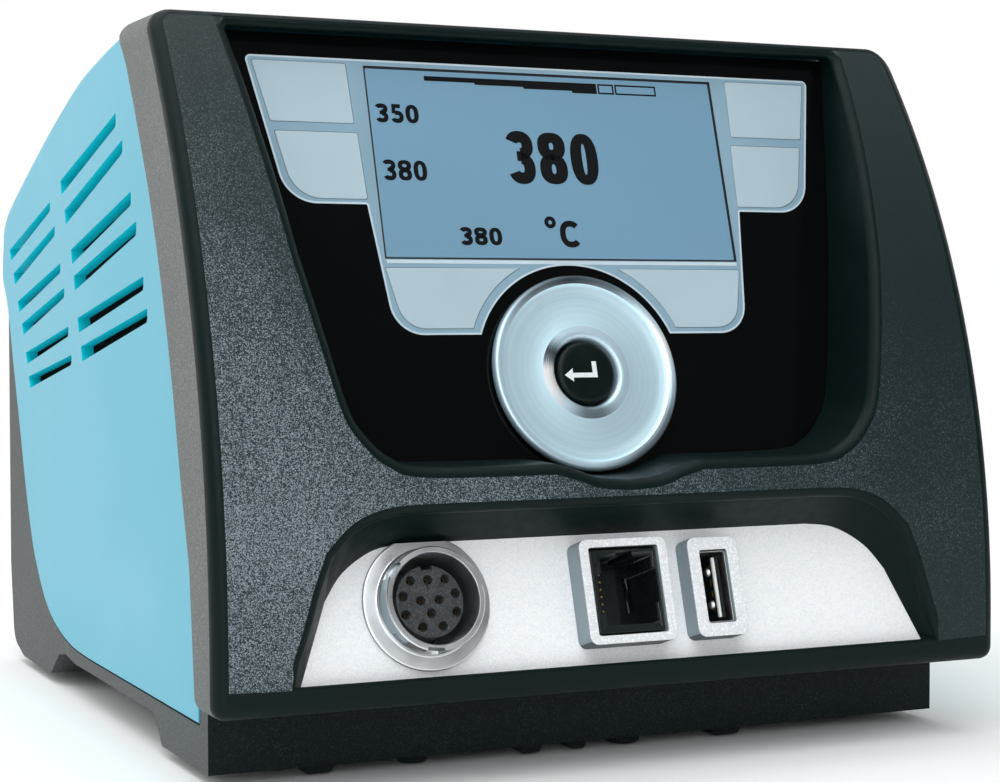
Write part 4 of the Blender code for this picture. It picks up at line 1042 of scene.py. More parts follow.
for side, sign in (("right", 1.0), ("left", -1.0)):
    for stem, shape in shapes.items():
        points = [(u * sign, v) for u, v in shape]
        key = slab(f"{stem}_{side}_cap", grown(points, -0.02), -1.5, 0.25, GLASS, KEY_SKIN, 0.16, 0.0, 4)
        placed(key, f"{stem}_{side}", f"{stem}_{side}", slot="key_pale")

lcd = slab("lcd_screen", rounded_box(0, 32.0, 35.2, 17.7, 0.2, 3), -5.5, -0.12, GLASS, LCD, 0.06, 0.2)
placed(lcd, "station", "lcd_module", slot="lcd_face")


def stroke(points, width, caps=True):
    """The outline of a polyline drawn with a flat pen of that width."""
    left, right = [], []
    for i, point in enumerate(points):
        here = Vector(point)
        a = (here - Vector(points[i - 1])).normalized() if i else None
        b = (Vector(points[i + 1]) - here).normalized() if i < len(points) - 1 else None
        along = (a + b).normalized() if a and b else (a or b)
        normal = Vector((-along.y, along.x))
        reach = width / 2 / max(normal.dot(Vector((-(a or b).y, (a or b).x))), 0.6)
        left.append(tuple(here + normal * reach))
        right.append(tuple(here - normal * reach))
    return left + list(reversed(right))


def oval(cx, cy, rx, ry, start=0.0, end=360.0, count=28, power=2.4):
    made = []
    for k in range(count + 1):
        a = math.radians(start + (end - start) * k / count)
        c, s = math.cos(a), math.sin(a)
        made.append((cx + rx * math.copysign(abs(c) ** (2 / power), c), cy + ry * math.copysign(abs(s) ** (2 / power), s)))
    return made


def digit(name, kind, x, t, wide, tall, pen, matrix, mat, low, high):
    """A numeral from pen strokes in a box whose lower left corner is (x, t)."""
    rx, cx = wide / 2 - pen / 2, x + wide / 2
    made = []

    def loop(cy, ry, tag):
        outer = oval(cx, cy, rx + pen / 2, ry + pen * 0.42, count=40)[:-1]
        inner = oval(cx, cy, rx - pen / 2, ry - pen * 0.42, count=40)[:-1]
        made.append(band(f"{name}_{tag}", outer, inner, low, high, matrix, mat, 0.008, 1))

    if kind == "0":
        loop(t + tall / 2, tall / 2 - pen * 0.42, "a")
    if kind == "8":
        loop(t + tall * 0.735, tall * 0.265 - pen * 0.42 + 0.02, "a")
        loop(t + tall * 0.29, tall * 0.29 - pen * 0.42 + 0.02, "b")
    if kind == "3":
        for tag, cy, ry, a0, a1 in (("a", 0.735, 0.265, 158.0, -88.0), ("b", 0.29, 0.29, 88.0, -158.0)):
            path = oval(cx, t + tall * cy, rx, tall * ry - pen * 0.42, a0, a1, 36)
            made.append(slab(f"{name}_{tag}", stroke(path, pen * 0.95), low, high, matrix, mat, 0.0))
        made.append(slab(f"{name}_c", stroke([(cx - rx * 0.42, t + tall * 0.525), (cx + rx * 0.35, t + tall * 0.525)],
                                              pen * 0.8), low, high - 0.002, matrix, mat, 0.0))
    if kind == "5":
        bowl = oval(cx, t + tall * 0.32, rx, tall * 0.32 - pen * 0.42, 118.0, -158.0, 36)
        made.append(slab(f"{name}_a", stroke(bowl, pen * 0.95), low, high, matrix, mat, 0.0))
        made.append(slab(f"{name}_b", stroke([(cx - rx * 0.75, t + tall * 0.5), (cx - rx * 0.65, t + tall - pen * 0.4),
                                              (cx + rx * 0.9, t + tall - pen * 0.4)], pen * 0.85), low, high - 0.002,
                         matrix, mat, 0.0))
    return made


def number(name, text, x0, x1, t0, t1, pen):
    gap = (x1 - x0) * 0.05
    wide = (x1 - x0 - gap * (len(text) - 1)) / len(text)
    for i, kind in enumerate(text):
        for obj in digit(f"{name}_{i}", kind, x0 + i * (wide + gap), t0, wide, t1 - t0, pen, GLASS, INK, -0.115, -0.075):
            placed(obj, "station", slot="black_plastic")


number("readout_main", "380", -9.4, 9.2, 28.6, 38.6, 2.35)
number("readout_upper", "350", -34.2, -25.8, 39.5, 43.0, 0.86)
number("readout_lower", "380", -34.0, -25.5, 28.6, 32.4, 0.86)
number("readout_tool", "380", -20.7, -12.4, 16.7, 20.0, 0.86)
# temperature unit and the power bar
degree = band("readout_degree", oval(-2.4, 21.2, 1.15, 1.15, count=32, power=2.0)[:-1],
              oval(-2.4, 21.2, 0.4, 0.4, count=32, power=2.0)[:-1], -0.115, -0.075, GLASS, INK, 0.008, 1)
placed(degree, "station", slot="black_plastic")
letter = slab("readout_celsius", stroke(oval(1.5, 19.0, 1.6, 2.0, 42.0, 318.0, 36), 1.12), -0.115, -0.075, GLASS, INK, 0.0)
placed(letter, "station", slot="black_plastic")
fill = slab("bar_filled", [(-23.9, 47.8), (-14.0, 47.8), (-13.9, 47.45), (-4.2, 47.45), (-4.1, 47.1), (5.8, 47.1),
                         (5.9, 46.7), (11.0, 46.7), (11.0, 48.7), (-23.9, 48.7)], -0.115, -0.075, GLASS,
            INK, 0.0)
placed(fill, "station", slot="black_plastic")
for stem, a, b in (("inner", 11.3, 14.6), ("outer", 14.9, 23.6)):
    cell = band(f"bar_cell_{stem}", [(a, 46.7), (b, 46.7), (b, 48.7), (a, 48.7)],
                [(a + 0.3, 47.0), (b - 0.3, 47.0), (b - 0.3, 48.4), (a + 0.3, 48.4)], -0.115, -0.075, GLASS, INK,
                0.008, 1)
    placed(cell, "station", slot="black_plastic")
# ------------------------------------------------------------------ click wheel and its button
dish = smooth_line([(6.9, 1.72), (7.5, 1.78), (8.6, 1.62), (10.2, 1.36), (12.2, 1.22), (14.2, 1.28), (15.8, 1.58),
                    (16.6, 1.88)], 4)
wheel = turned("click_wheel_ring",
               [(17.9, 0.4), (17.55, 0.45), (8.0, 0.45), (8.0, -4.0), (6.25, -4.0), (6.25, 1.0), (6.38, 1.42)] + dish
               + [(16.9, 2.0), (17.3, 2.08), (17.7, 2.02), (17.98, 1.78), (18.1, 1.4), (18.1, 0.7)],
               WHEEL, TURNED, 180, 50.0)
wheel.data.materials.append(RIM_PAINTED_GLINTS)
wheel.data.materials.append(HUB_PAINTED_GLINTS)
# Rim and hub faces take the materials with painted highlights and shade by angle.
for face in wheel.data.polygons:
    reach = math.hypot(face.center.x, face.center.y) / MM
    if face.center.z > 0.5 * MM:
        face.material_index = 1 if reach > 16.5 else 2 if reach < 8.7 else 0
placed(wheel, "click_wheel", "click_wheel", slot="wheel_metal")
button = turned("enter_button_cap",
                [(0, 1.62), (4.4, 1.60), (5.2, 1.5), (5.55, 1.3), (5.7, 1.0), (5.7, -0.8), (2.5, -0.8), (2.5, -9.0), (0, -9.0)],
                WHEEL, BUTTON_SKIN, 96)
placed(button, "enter_button", "enter_button", slot="black_plastic")
arrow = [(-4.45, -0.52), (-2.75, 0.72), (-2.75, -0.14), (1.18, -0.14), (1.18, 1.95), (2.08, 1.95), (2.08, -1.0),
         (-2.75, -1.0), (-2.75, -1.74)]
mark = slab("enter_mark", arrow, 1.55, 1.66, WHEEL, MARK, 0.02, 0.0, 1)
placed(mark, "enter_button", slot="white_plastic")


# ------------------------------------------------------------------ port plate
TOOL_X, TOOL_T = -37.0, 12.4
JACK_X, JACK_T = -1.1, 11.9
USB_X, USB_T = 16.8, 11.7
TOOL = shifted(PLATE, TOOL_X, TOOL_T, 0)
PLATE_OUT = Vector((0.0, -math.cos(LEAN), math.sin(LEAN)))


def plate_piece():
    edge = mirrored(fillet([(0.0, -0.9), (61.6, -0.9), (57.3, 14.6), (54.0, 24.9), (38.0, 24.9), (0.0, 24.9)],
                           [0, 0.4, 0, 6.0, 0, 0], 6))
    seen = []
    for p in edge:
        if not seen or (Vector(p) - Vector(seen[-1])).length > 1e-4:
            seen.append(p)
    obj = slab("port_plate_sheet", seen, -2.0, 0.0, PLATE, PLATE_SKIN, 0.1)
    cutters = [slab("a", rounded_box(JACK_X, JACK_T, 6.7, 7.6, 0.5), -5.0, 8.0, PLATE, PLATE_SKIN, 0.0),
               slab("b", rounded_box(USB_X, USB_T, 3.2, 6.9, 0.4), -5.0, 8.0, PLATE, PLATE_SKIN, 0.0),
               turned("c", [(0, 3.0), (8.9, 3.0), (8.9, -5.0), (0, -5.0)], TOOL, PLATE_SKIN, 72)]
    carved(obj, cutters)
    placed(obj, "station", "port_plate", slot="silver_paint")
    for stem, x, t, hx, ht, ix, it, tall in (("data", JACK_X, JACK_T, 8.5, 9.1, 6.7, 7.6, 4.9),
                                             ("usb", USB_X, USB_T, 5.05, 8.8, 2.75, 6.45, 4.4)):
        outer = rounded_box(x, t, hx, ht, 1.5, 8)
        inner = rounded_box(x, t, ix, it, 0.45, 8)
        frame_piece = band(f"port_frame_{stem}", outer, inner, 0.01, tall, PLATE, FRAME_SKIN, 0.28, 4)
        # Painted shade: faces turned away from the front take the darker side copy, those facing down the darkest.
        frame_piece.data.materials.append(FRAME_SIDE_SHADED)
        frame_piece.data.materials.append(FRAME_UNDER_SHADED)
        for face in frame_piece.data.polygons:
            if face.normal.dot(PLATE_OUT) < 0.45:
                face.material_index = 2 if face.normal.z < -0.6 else 1
        placed(frame_piece, "station", "port_plate", slot="silver_paint")


plate_piece()


def socket_pieces():
    profile = [(8.6, -15.0), (8.6, 0.25), (11.1, 0.25), (11.4, 0.4), (11.4, 0.85), (11.15, 1.1), (9.25, 1.15),
               (9.05, 1.3), (8.8, 1.6), (8.8, 4.85), (8.6, 5.1), (7.85, 5.1), (7.65, 4.9), (7.65, -13.0),
               (3.5, -13.0), (3.5, -15.0)]
    shell = turned("tool_socket_collar", profile, TOOL, BRIGHT, 128, 30.0)
    cutters = [block("flat", (-12.0, 10.2, -0.1), (12.0, 14.0, 6.0), TOOL, BRIGHT, 0.0)]
    for i, angle in enumerate((-97.0, 23.0, 143.0)):
        turned_to = TOOL @ Matrix.Rotation(math.radians(angle), 4, "Z")
        cutters.append(block(f"entry_{i}", (8.15, -1.5, 1.9), (10.4, 1.5, 6.0), turned_to, BRIGHT, 0.0))
        arc_out = ring(9.6, 20, (0, 0), math.radians(angle - 48), math.radians(angle + 2))
        arc_in = ring(8.25, 20, (0, 0), math.radians(angle - 48), math.radians(angle + 2))
        cutters.append(slab(f"track_{i}", arc_out + list(reversed(arc_in)), 1.85, 3.3, TOOL, BRIGHT, 0.0))
    carved(shell, cutters, sharp=30.0)
    # Painted shade: the collar's sides take the darker copy of its metal; the bore and the faces turned down take the
    # painted shadow.
    shell.data.materials.append(COLLAR_SIDE_SHADED)
    shell.data.materials.append(COLLAR_BORE)
    axis = TOOL.translation
    for face in shell.data.polygons:
        out_of = (face.center - axis).dot(PLATE_OUT)
        spoke = (face.center - axis) - PLATE_OUT * out_of
        if face.normal.dot(PLATE_OUT) < 0.4 and out_of > 0.5 * MM:
            face.material_index = 2 if spoke.length < 7.75 * MM or face.normal.z < -0.75 else 1
    soften(shell, 0.08, 2, 45.0)
    placed(shell, "station", "tool_socket_shell", slot="bright_metal")
    insert = turned("tool_socket_face",
                    [(0, 2.2), (5.7, 2.2), (6.0, 2.1), (6.15, 1.8), (6.15, -10.0), (7.35, -10.0), (7.35, -12.6), (0, -12.6)],
                    TOOL, INSERT_SKIN, 96)
    holes = [(-3.1, 3.6), (0.0, 3.6), (3.1, 3.6), (-4.7, 1.1), (-1.7, 0.2), (1.7, 0.2), (4.7, 1.1),
             (-4.6, -2.0), (0.0, -2.0), (4.6, -2.0), (-1.8, -4.2), (1.8, -4.2)]
    cutters = []
    for i, (u, v) in enumerate(holes):
        cutters.append(turned(f"hole_{i}", [(0, 3.0), (0.85, 3.0), (0.85, 2.18), (0.62, 1.8), (0.62, -5.0), (0, -5.0)],
                              shifted(TOOL, u, v, 0), INSERT_SKIN, 28))
    cutters.append(slab("key_notch", rounded_box(0.0, 6.4, 1.0, 1.1, 0.3), -9.5, 3.2, TOOL, INSERT_SKIN, 0.0))
    carved(insert, cutters, sharp=30.0)
    placed(insert, "station", "tool_socket_insert", slot="black_plastic")
    for i, (u, v) in enumerate(holes):
        # The contacts take the darker gold, painted shade in the holes.
        cup = turned(f"socket_contact_{i}", [(0.52, 0.6), (0.52, -3.8), (0.0, -3.8), (0.0, -3.4), (0.34, -3.4), (0.34, 0.6)],
                     shifted(TOOL, u, v, 0), GOLD_SHADED, 20)
        placed(cup, "station", slot="gold_contact")


socket_pieces()


def jack_pieces():
    outer = rounded_box(JACK_X, JACK_T, 6.35, 7.25, 0.4, 4)
    body = slab("data_jack_body", outer, -12.0, 4.3, PLATE, BLACK_JACK, 0.2)
    cutters = [slab("m", rounded_box(JACK_X + 0.3, JACK_T, 4.9, 5.9, 0.3), -9.5, 6.0, PLATE, BLACK_JACK, 0.0),
               slab("l", rounded_box(JACK_X + 5.0, JACK_T + 0.6, 1.0, 3.1, 0.2), -7.0, 6.0, PLATE, BLACK_JACK, 0.0),
               slab("s", rounded_box(JACK_X - 4.9, JACK_T - 0.3, 0.7, 3.4, 0.2), -5.0, 6.0, PLATE, BLACK_JACK, 0.0),
               slab("u", rounded_box(JACK_X + 0.2, JACK_T + 6.0, 1.6, 0.9, 0.2), -5.0, 6.0, PLATE, BLACK_JACK, 0.0)]
    carved(body, cutters)
    placed(body, "station", "data_jack", slot="black_plastic")
    comb = block("jack_wire_holder", (JACK_X - 4.4, JACK_T - 5.0, -9.2), (JACK_X - 2.6, JACK_T + 5.0, -7.4), PLATE,
                 BLACK_JACK, 0.2)
    placed(comb, "station", "data_jack_contacts", slot="black_plastic")
    for i in range(8):
        at = JACK_T - 4.45 + 1.27 * i
        path = [(JACK_X - 4.3, at, 2.6), (JACK_X - 4.35, at, 1.4), (JACK_X - 3.9, at, 0.9), (JACK_X - 2.2, at, -3.4),
                (JACK_X - 1.9, at, -5.6), (JACK_X - 3.0, at, -8.0)]
        curve = bpy.data.curves.new(f"jack_wire_{i}", "CURVE")
        curve.dimensions = "3D"
        curve.bevel_depth = 0.2 * MM
        curve.bevel_resolution = 3
        curve.use_fill_caps = True
        spline = curve.splines.new("NURBS")
        spline.points.add(len(path) - 1)
        for point, (u, v, w) in zip(spline.points, path):
            point.co = (u * MM, v * MM, w * MM, 1.0)
        spline.use_endpoint_u = True
        spline.order_u = 3
        curve.materials.append(GOLD)
        wire = bpy.data.objects.new(f"jack_wire_{i}", curve)
        wire.matrix_world = PLATE
        pieces.objects.link(wire)
        placed(wire, "station", "data_jack_contacts", slot="gold_contact")
    shell = band("usb_socket_shell", rounded_box(USB_X, USB_T, 2.7, 6.4, 0.6, 6), rounded_box(USB_X, USB_T, 2.42, 6.12, 0.4, 6),
                 -12.0, 3.7, PLATE, STEEL, 0.1, 2)
    placed(shell, "station", "usb_shell", slot="zinc_steel")
    rear = slab("usb_socket_back", rounded_box(USB_X, USB_T, 2.35, 6.05, 0.3, 4), -11.8, -11.2, PLATE, BLACK_JACK, 0.0)
    placed(rear, "station", "usb_shell", slot="black_plastic")
    for i, t in enumerate((USB_T - 2.9, USB_T + 2.9)):
        spring = loft(f"usb_spring_{i}", [[(USB_X - 2.38 + d, t + v, h) for v, h in ((-0.9, -4.0), (0.9, -4.0), (0.9, 2.6), (-0.9, 2.6))]
                                          for d in (0.0, 0.06)], PLATE, STEEL)
        placed(spring, "station", slot="zinc_steel")
        dimple = turned(f"usb_dimple_{i}", rolled([(0, 0.62), (0.55, 0.5), (0.85, 0.05), (0.85, 0.0), (0, 0.0)], 0.2),
                        PLATE @ Matrix.Translation(Vector((USB_X + 0.30, t, 0.9)) * MM) @ Matrix.Rotation(-math.pi / 2, 4, "Y"),
                        BRIGHT, 32)
        placed(dimple, "station", slot="zinc_steel")
    tongue = slab("usb_tongue_bar", rounded_box(USB_X + 1.1, USB_T, 0.8, 5.4, 0.25, 4), -10.8, 2.3, PLATE, BLACK_JACK, 0.15)
    placed(tongue, "station", "usb_tongue", slot="black_plastic")
    face = slab("usb_tongue_face", rounded_box(USB_X + 0.62, USB_T, 0.27, 5.3, 0.2, 4), 2.0, 2.75, PLATE, WHITE, 0.1)
    placed(face, "station", "usb_tongue", slot="white_plastic")
    for i in range(4):
        t = USB_T + (-3.5, -1.0, 1.0, 3.5)[i]
        # The contacts take the darker gold, painted shade inside the socket.
        strip = block(f"usb_contact_{i}", (USB_X + 0.20, t - 0.5, -8.0), (USB_X + 0.29, t + 0.5, 1.6), PLATE, GOLD_SHADED, 0.03)
        placed(strip, "station", slot="gold_contact")


jack_pieces()


# ------------------------------------------------------------------ back
def face_box(x, z, half_x, half_z):
    return [(x - half_x, z - half_z), (x + half_x, z - half_z), (x + half_x, z + half_z), (x - half_x, z + half_z)]


INLET_X, INLET_Z, SWITCH_X, SWITCH_Z, BOND_X, BOND_Z = 34.0, 44.0, 2.0, 44.0, -44.0, 36.0


def back_pieces():
    sheet = slab("rear_panel_sheet", fillet([(-68.3, 10.2), (68.3, 10.2), (68.3, 98.4), (-68.3, 98.4)], 1.2, 5),
                 155.5, 157.5, BACK, REAR_SKIN, 0.25, 0.25)
    cutters = [slab("a", [(-x, z) for x, z in face_box(INLET_X, INLET_Z, 14.0, 15.6)], 150, 170, BACK, REAR_SKIN, 0.0),
               slab("b", [(-x, z) for x, z in face_box(SWITCH_X, SWITCH_Z, 6.9, 11.2)], 150, 170, BACK, REAR_SKIN, 0.0),
               turned("c", [(0, 170), (4.2, 170), (4.2, 150), (0, 150)], shifted(BACK, -BOND_X, BOND_Z, 0), REAR_SKIN, 48)]
    for i, (x, z) in enumerate(((-63.5, 93.5), (63.5, 93.5), (-63.5, 26.0), (63.5, 26.0))):
        cutters.append(turned(f"h{i}", [(0, 170), (1.9, 170), (1.9, 150), (0, 150)], shifted(BACK, -x, z, 0), REAR_SKIN, 32))
    for i in range(12):
        cutters.append(slab(f"s{i}", rounded_box(-38.5 + 7.0 * i, 83.0, 1.1, 7.0, 1.1), 150, 170, BACK, REAR_SKIN, 0.0))
    carved(sheet, cutters)
    soften(sheet, 0.12, 2, 50.0)
    placed(sheet, "station", "rear_panel", slot="rear_panel_paint")
    plate = slab("rear_label_plate", rounded_box(40.0, 64.0, 15.0, 6.5, 1.0), 157.5, 157.72, BACK, LABEL, 0.06)
    placed(plate, "station", slot="silver_paint")

    body = slab("mains_inlet_body", fillet([(-x, z) for x, z in face_box(INLET_X, INLET_Z, 15.5, 17.0)], 2.4, 8),
                157.8, 159.9, BACK, BLACK, 0.5, 0.0, 4)
    joins = [slab("k", [(-x, z) for x, z in face_box(INLET_X, INLET_Z, 13.6, 15.2)], 139.0, 158.8, BACK, BLACK, 0.0)]
    carved(body, joins, "UNION")
    cavity = fillet([(-INLET_X - 12.0, INLET_Z - 5.0), (-INLET_X + 12.0, INLET_Z - 5.0), (-INLET_X + 12.0, INLET_Z + 6.5),
                     (-INLET_X + 7.5, INLET_Z + 11.4), (-INLET_X - 7.5, INLET_Z + 11.4), (-INLET_X - 12.0, INLET_Z + 6.5)],
                    [1.0, 1.0, 2.0, 2.0, 2.0, 2.0], 6)
    cutters = [slab("v", cavity, 143.6, 165.0, BACK, BLACK, 0.0),
               slab("f", [(-x, z) for x, z in face_box(INLET_X, INLET_Z - 10.9, 10.4, 3.5)], 141.0, 165.0, BACK, BLACK, 0.0)]
    for stem, dx, dz in (("live", -7.0, 1.2), ("neutral", 7.0, 1.2), ("earth", 0.0, 5.2)):
        cutters.append(slab(f"p{stem}", [(-x, z) for x, z in face_box(INLET_X + dx, INLET_Z + dz, 1.3, 2.3)], 138.0, 150.0,
                            BACK, BLACK, 0.0))
    carved(body, cutters)
    soften(body, 0.2, 3, 50.0)
    placed(body, "station", "mains_inlet", slot="black_plastic")
    for stem, dx, dz in (("live", -7.0, 1.2), ("neutral", 7.0, 1.2), ("earth", 0.0, 5.2)):
        pin = slab(f"mains_pin_{stem}", fillet([(-x, z) for x, z in face_box(INLET_X + dx, INLET_Z + dz, 1.0, 2.0)], 0.6, 5),
                   136.5, 155.2, BACK, STEEL, 0.5, 0.1, 4)
        placed(pin, "station", f"inlet_pin_{stem}", slot="zinc_steel")
    drawer = slab("fuse_drawer_front", fillet([(-x, z) for x, z in face_box(INLET_X, INLET_Z - 10.9, 10.0, 3.1)], 0.5, 4),
                  141.6, 160.4, BACK, BLACK, 0.35, 0.1, 4)
    cutters = [slab("d", [(-x, z) for x, z in face_box(INLET_X, INLET_Z - 9.9, 8.6, 2.6)], 143.0, 156.5, BACK, BLACK, 0.0),
               slab("g", [(-x, z) for x, z in face_box(INLET_X, INLET_Z - 14.2, 3.0, 1.0)], 159.2, 161.5, BACK, BLACK, 0.0),
               slab("n", rounded_box(-INLET_X, INLET_Z - 10.6, 4.0, 0.35, 0.3), 160.0, 161.5, BACK, BLACK, 0.0)]
    carved(drawer, cutters)
    placed(drawer, "fuse_drawer", "fuse_drawer", slot="black_plastic")
    bezel = slab("switch_bezel", fillet([(-x, z) for x, z in face_box(SWITCH_X, SWITCH_Z, 8.0, 12.6)], 1.4, 6),
                 157.8, 159.6, BACK, BLACK, 0.4, 0.0, 4)
    carved(bezel, [slab("k", [(-x, z) for x, z in face_box(SWITCH_X, SWITCH_Z, 6.6, 10.9)], 141.0, 158.6, BACK, BLACK, 0.0)],
           "UNION")
    carved(bezel, [slab("b", fillet([(-x, z) for x, z in face_box(SWITCH_X, SWITCH_Z, 5.3, 9.5)], 0.3, 3), 144.0, 165.0,
                        BACK, BLACK, 0.0)])
    soften(bezel, 0.15, 2, 50.0)
    placed(bezel, "station", "switch_frame", slot="black_plastic")
    tip = math.radians(8)
    rock = matrix_of((SWITCH_X, 154.0, SWITCH_Z), (0, math.cos(tip), -math.sin(tip)), (0, math.sin(tip), math.cos(tip)))
    curve = smooth_line([(7.0, 7.9), (6.0, 4.2), (5.2, 0.0), (6.0, -4.2), (7.0, -7.9)], 5)
    line = curve + fillet([(6.2, -8.25), (3.0, -8.3), (-5.5, -3.0), (-5.5, 3.0), (3.0, 8.3), (6.2, 8.25)],
                          [0, 0.5, 1.0, 1.0, 0.5, 0], 4)
    rocker = slab("rocker_cap", line, -4.9, 4.9, rock, ROCKER_SKIN, 0.35, 0.35, 3)
    placed(rocker, "power_rocker", "power_rocker", slot="black_plastic")

    def upon(z):
        """A frame lying on the rocker's hollow face at local height z, facing out."""
        reach = 5.2 + 1.8 * abs(z) ** 1.35 / 7.9 ** 1.35
        return rock @ Matrix.Translation(Vector((reach, z, 0.0)) * MM) @ Matrix.Rotation(math.pi / 2, 4, "Y")

    on = slab("rocker_mark_on", rounded_box(0.0, 0.0, 0.3, 1.5, 0.1, 3), -0.25, 0.12, upon(4.6) @ Matrix.Rotation(math.radians(13), 4, "X"), MARK, 0.03)
    off = band("rocker_mark_off", ring(1.45, 40), ring(1.0, 40), -0.25, 0.12, upon(-4.6) @ Matrix.Rotation(math.radians(-13), 4, "X"), MARK, 0.03)
    for obj in (on, off):
        placed(obj, "power_rocker", slot="white_plastic")
    bond = turned("bonding_socket_ring", rolled(
        [(0, 148.0), (2.0, 148.0), (2.0, 161.4), (3.6, 161.4), (3.6, 160.6), (5.6, 160.6), (5.6, 157.8), (3.9, 157.8),
         (3.9, 146.0), (0, 146.0)], {3: 0.25, 5: 0.4}), shifted(BACK, -BOND_X, BOND_Z, 0), BRIGHT, 72)
    placed(bond, "station", "bonding_socket", slot="bright_metal")
    for stem, x, z in (("upper_left", -63.5, 93.5), ("upper_right", 63.5, 93.5),
                       ("lower_left", -63.5, 26.0), ("lower_right", 63.5, 26.0)):
        screw = turned(f"rear_screw_{stem}", [(0, 159.42), (1.2, 159.4), (2.1, 159.2), (2.75, 158.75), (3.0, 158.3),
                                              (3.0, 157.8), (1.5, 157.8), (1.5, 149.0), (0, 149.0)],
                       shifted(BACK, -x, z, 0), STEEL, 48)
        star = []
        for k in range(12):
            a = math.tau * k / 12
            star.append((math.cos(a) * (1.35 if k % 2 else 0.95), math.sin(a) * (1.35 if k % 2 else 0.95)))
        carved(screw, [slab("r", fillet(star, 0.25, 3), 158.2, 161.0, shifted(BACK, -x, z, 0), STEEL, 0.0)], sharp=30.0)
        placed(screw, "station", f"panel_screw_{stem}", slot="zinc_steel")


back_pieces()

# ------------------------------------------------------------------ underneath
for stem, x, y in (("front_left", -57.5, 28.4), ("front_right", 57.5, 28.4), ("rear_left", -57.5, 142.0),
                   ("rear_right", 57.5, 142.0)):
    foot = turned(f"rubber_foot_{stem}", [(0, 1.7), (6.0, 1.7), (6.0, 0.8), (5.85, 0.35), (5.5, 0.06), (5.2, 0.0), (3.2, 0.0),
                                          (3.0, 0.15), (2.8, 0.35), (0, 0.4)], shifted(FLOOR, x, y, 0), RUBBER, 72)
    placed(foot, "station", f"foot_{stem}", slot="rubber")
for stem, x, y in (("front_left", -40.0, 33.0), ("front_right", 40.0, 33.0), ("rear_left", -40.0, 142.0),
                   ("rear_right", 40.0, 142.0)):
    screw = turned(f"under_screw_{stem}", [(0, 12.0), (1.5, 12.0), (1.5, 3.3), (3.3, 3.3), (3.3, 2.6), (2.9, 2.2), (2.2, 2.0),
                                           (0, 2.0)], shifted(FLOOR, x, y, 0), STEEL, 48)
    cross = slab("r", rounded_box(0, 0, 0.3, 1.7, 0.1, 2), 1.5, 2.9, shifted(FLOOR, x, y, 0), STEEL, 0.0)
    slotted = slab("q", rounded_box(0, 0, 1.7, 0.3, 0.1, 2), 1.4, 2.9, shifted(FLOOR, x, y, 0), STEEL, 0.0)
    carved(screw, [cross, slotted], sharp=30.0)
    placed(screw, "station", f"base_screw_{stem}", slot="zinc_steel")

# ------------------------------------------------------------------ stage
work = bmesh.new()
bmesh.ops.create_grid(work, x_segments=8, y_segments=8, size=6.0)
floor = finish_mesh("studio_floor", work, Matrix.Translation((0, 0, -0.00002)), floor_material())

camera = bpy.data.cameras.new("photo_camera")
camera.lens = 79.2
camera.sensor_width = 36.0
camera.clip_start = 0.01
viewer = bpy.data.objects.new("photo_camera", camera)
viewer.location = (-0.1788, -0.41418, 0.07997)
viewer.rotation_euler = (math.radians(87.67), 0.0, math.radians(-24.81))
scene.collection.objects.link(viewer)
scene.camera = viewer


def softbox(name, at, to, wide, tall, power, colour=(1.0, 1.0, 1.0)):
    data = bpy.data.lights.new(name, "AREA")
    data.shape = "RECTANGLE"
    data.size, data.size_y = wide, tall
    data.energy = power
    data.color = colour
    lamp = bpy.data.objects.new(name, data)
    lamp.location = at
    lamp.rotation_euler = (Vector(to) - Vector(at)).to_track_quat("-Z", "Y").to_euler()
    lamp.visible_camera = False
    scene.collection.objects.link(lamp)


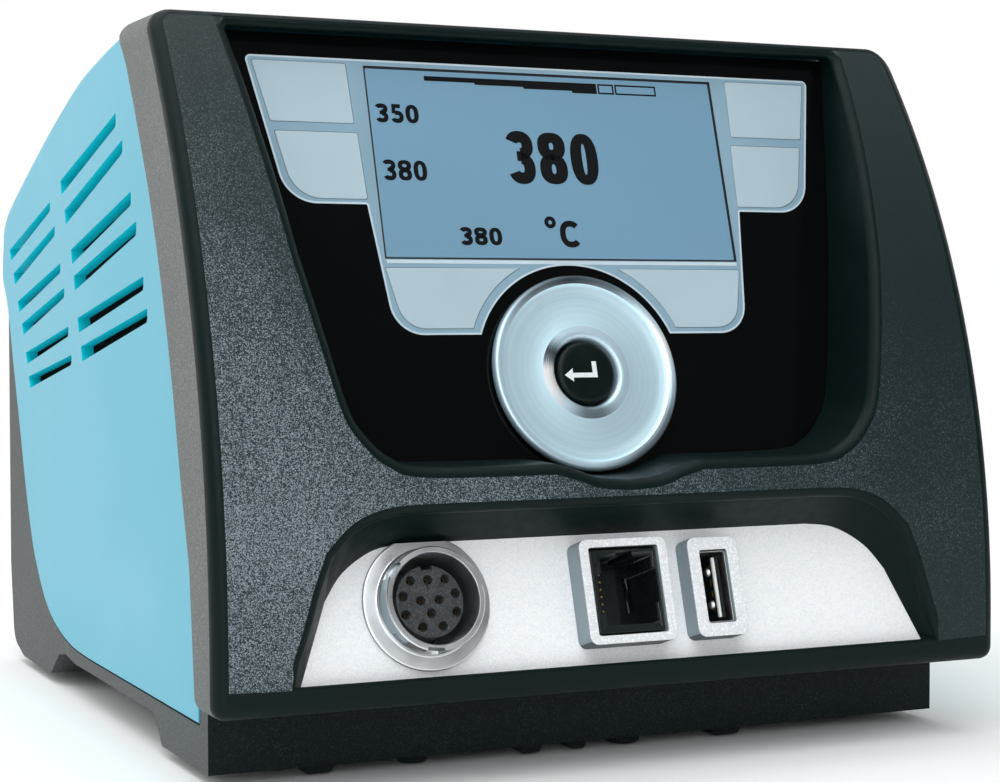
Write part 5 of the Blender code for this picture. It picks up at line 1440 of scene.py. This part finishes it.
softbox("top_softbox", (-0.15, -0.05, 1.1), (0, 0, 0), 1.2, 1.2, 8.5, (0.97, 0.99, 1.0))
softbox("left_rear_softbox", (-1.0, 0.85, 0.55), (0, 0, 0.08), 1.1, 0.9, 4.6, (1.0, 0.99, 0.97))
softbox("high_front_softbox", (-0.3, -1.0, 1.0), (0, -0.05, 0.06), 0.8, 0.8, 5.0, (0.95, 0.98, 1.0))
softbox("low_front_softbox", (-0.45, -1.2, 0.35), (0, -0.05, 0.05), 0.5, 0.4, 3.0, (0.95, 0.98, 1.0))
softbox("right_fill", (1.2, 0.2, 0.6), (0, 0, 0.06), 0.8, 0.8, 2.5)


def world_light():
    world = bpy.data.worlds.new("studio")
    world.use_nodes = True
    tree = world.node_tree
    tree.nodes.clear()
    out = tree.nodes.new("ShaderNodeOutputWorld")
    mix = tree.nodes.new("ShaderNodeMixShader")
    seen = tree.nodes.new("ShaderNodeBackground")
    seen.inputs["Color"].default_value = (1.0, 1.0, 1.0, 1.0)
    seen.inputs["Strength"].default_value = 1.0
    glow = tree.nodes.new("ShaderNodeBackground")
    glow.inputs["Strength"].default_value = 1.0
    path = tree.nodes.new("ShaderNodeLightPath")
    coord = tree.nodes.new("ShaderNodeTexCoord")
    dot = tree.nodes.new("ShaderNodeVectorMath")
    dot.operation = "DOT_PRODUCT"
    dot.inputs[1].default_value = (-0.62, 0.70, 0.35)
    ramp = tree.nodes.new("ShaderNodeValToRGB")
    stops = [(0.0, 0.14), (0.35, 0.20), (0.62, 0.36), (0.85, 0.85), (1.0, 1.15)]
    while len(ramp.color_ramp.elements) < len(stops):
        ramp.color_ramp.elements.new(0.5)
    for element, (at, level) in zip(ramp.color_ramp.elements, stops):
        element.position = at
        element.color = (level * 0.98, level, level * 1.01, 1.0)
    spread = tree.nodes.new("ShaderNodeMapRange")
    spread.inputs["From Min"].default_value = -1.0
    spread.inputs["From Max"].default_value = 1.0
    links = tree.links
    links.new(coord.outputs["Generated"], dot.inputs[0])
    links.new(dot.outputs["Value"], spread.inputs["Value"])
    links.new(spread.outputs["Result"], ramp.inputs["Fac"])
    links.new(ramp.outputs["Color"], glow.inputs["Color"])
    links.new(path.outputs["Is Camera Ray"], mix.inputs["Fac"])
    links.new(glow.outputs["Background"], mix.inputs[1])
    links.new(seen.outputs["Background"], mix.inputs[2])
    links.new(mix.outputs["Shader"], out.inputs["Surface"])
    scene.world = world


world_light()
scene.view_settings.view_transform = "Standard"
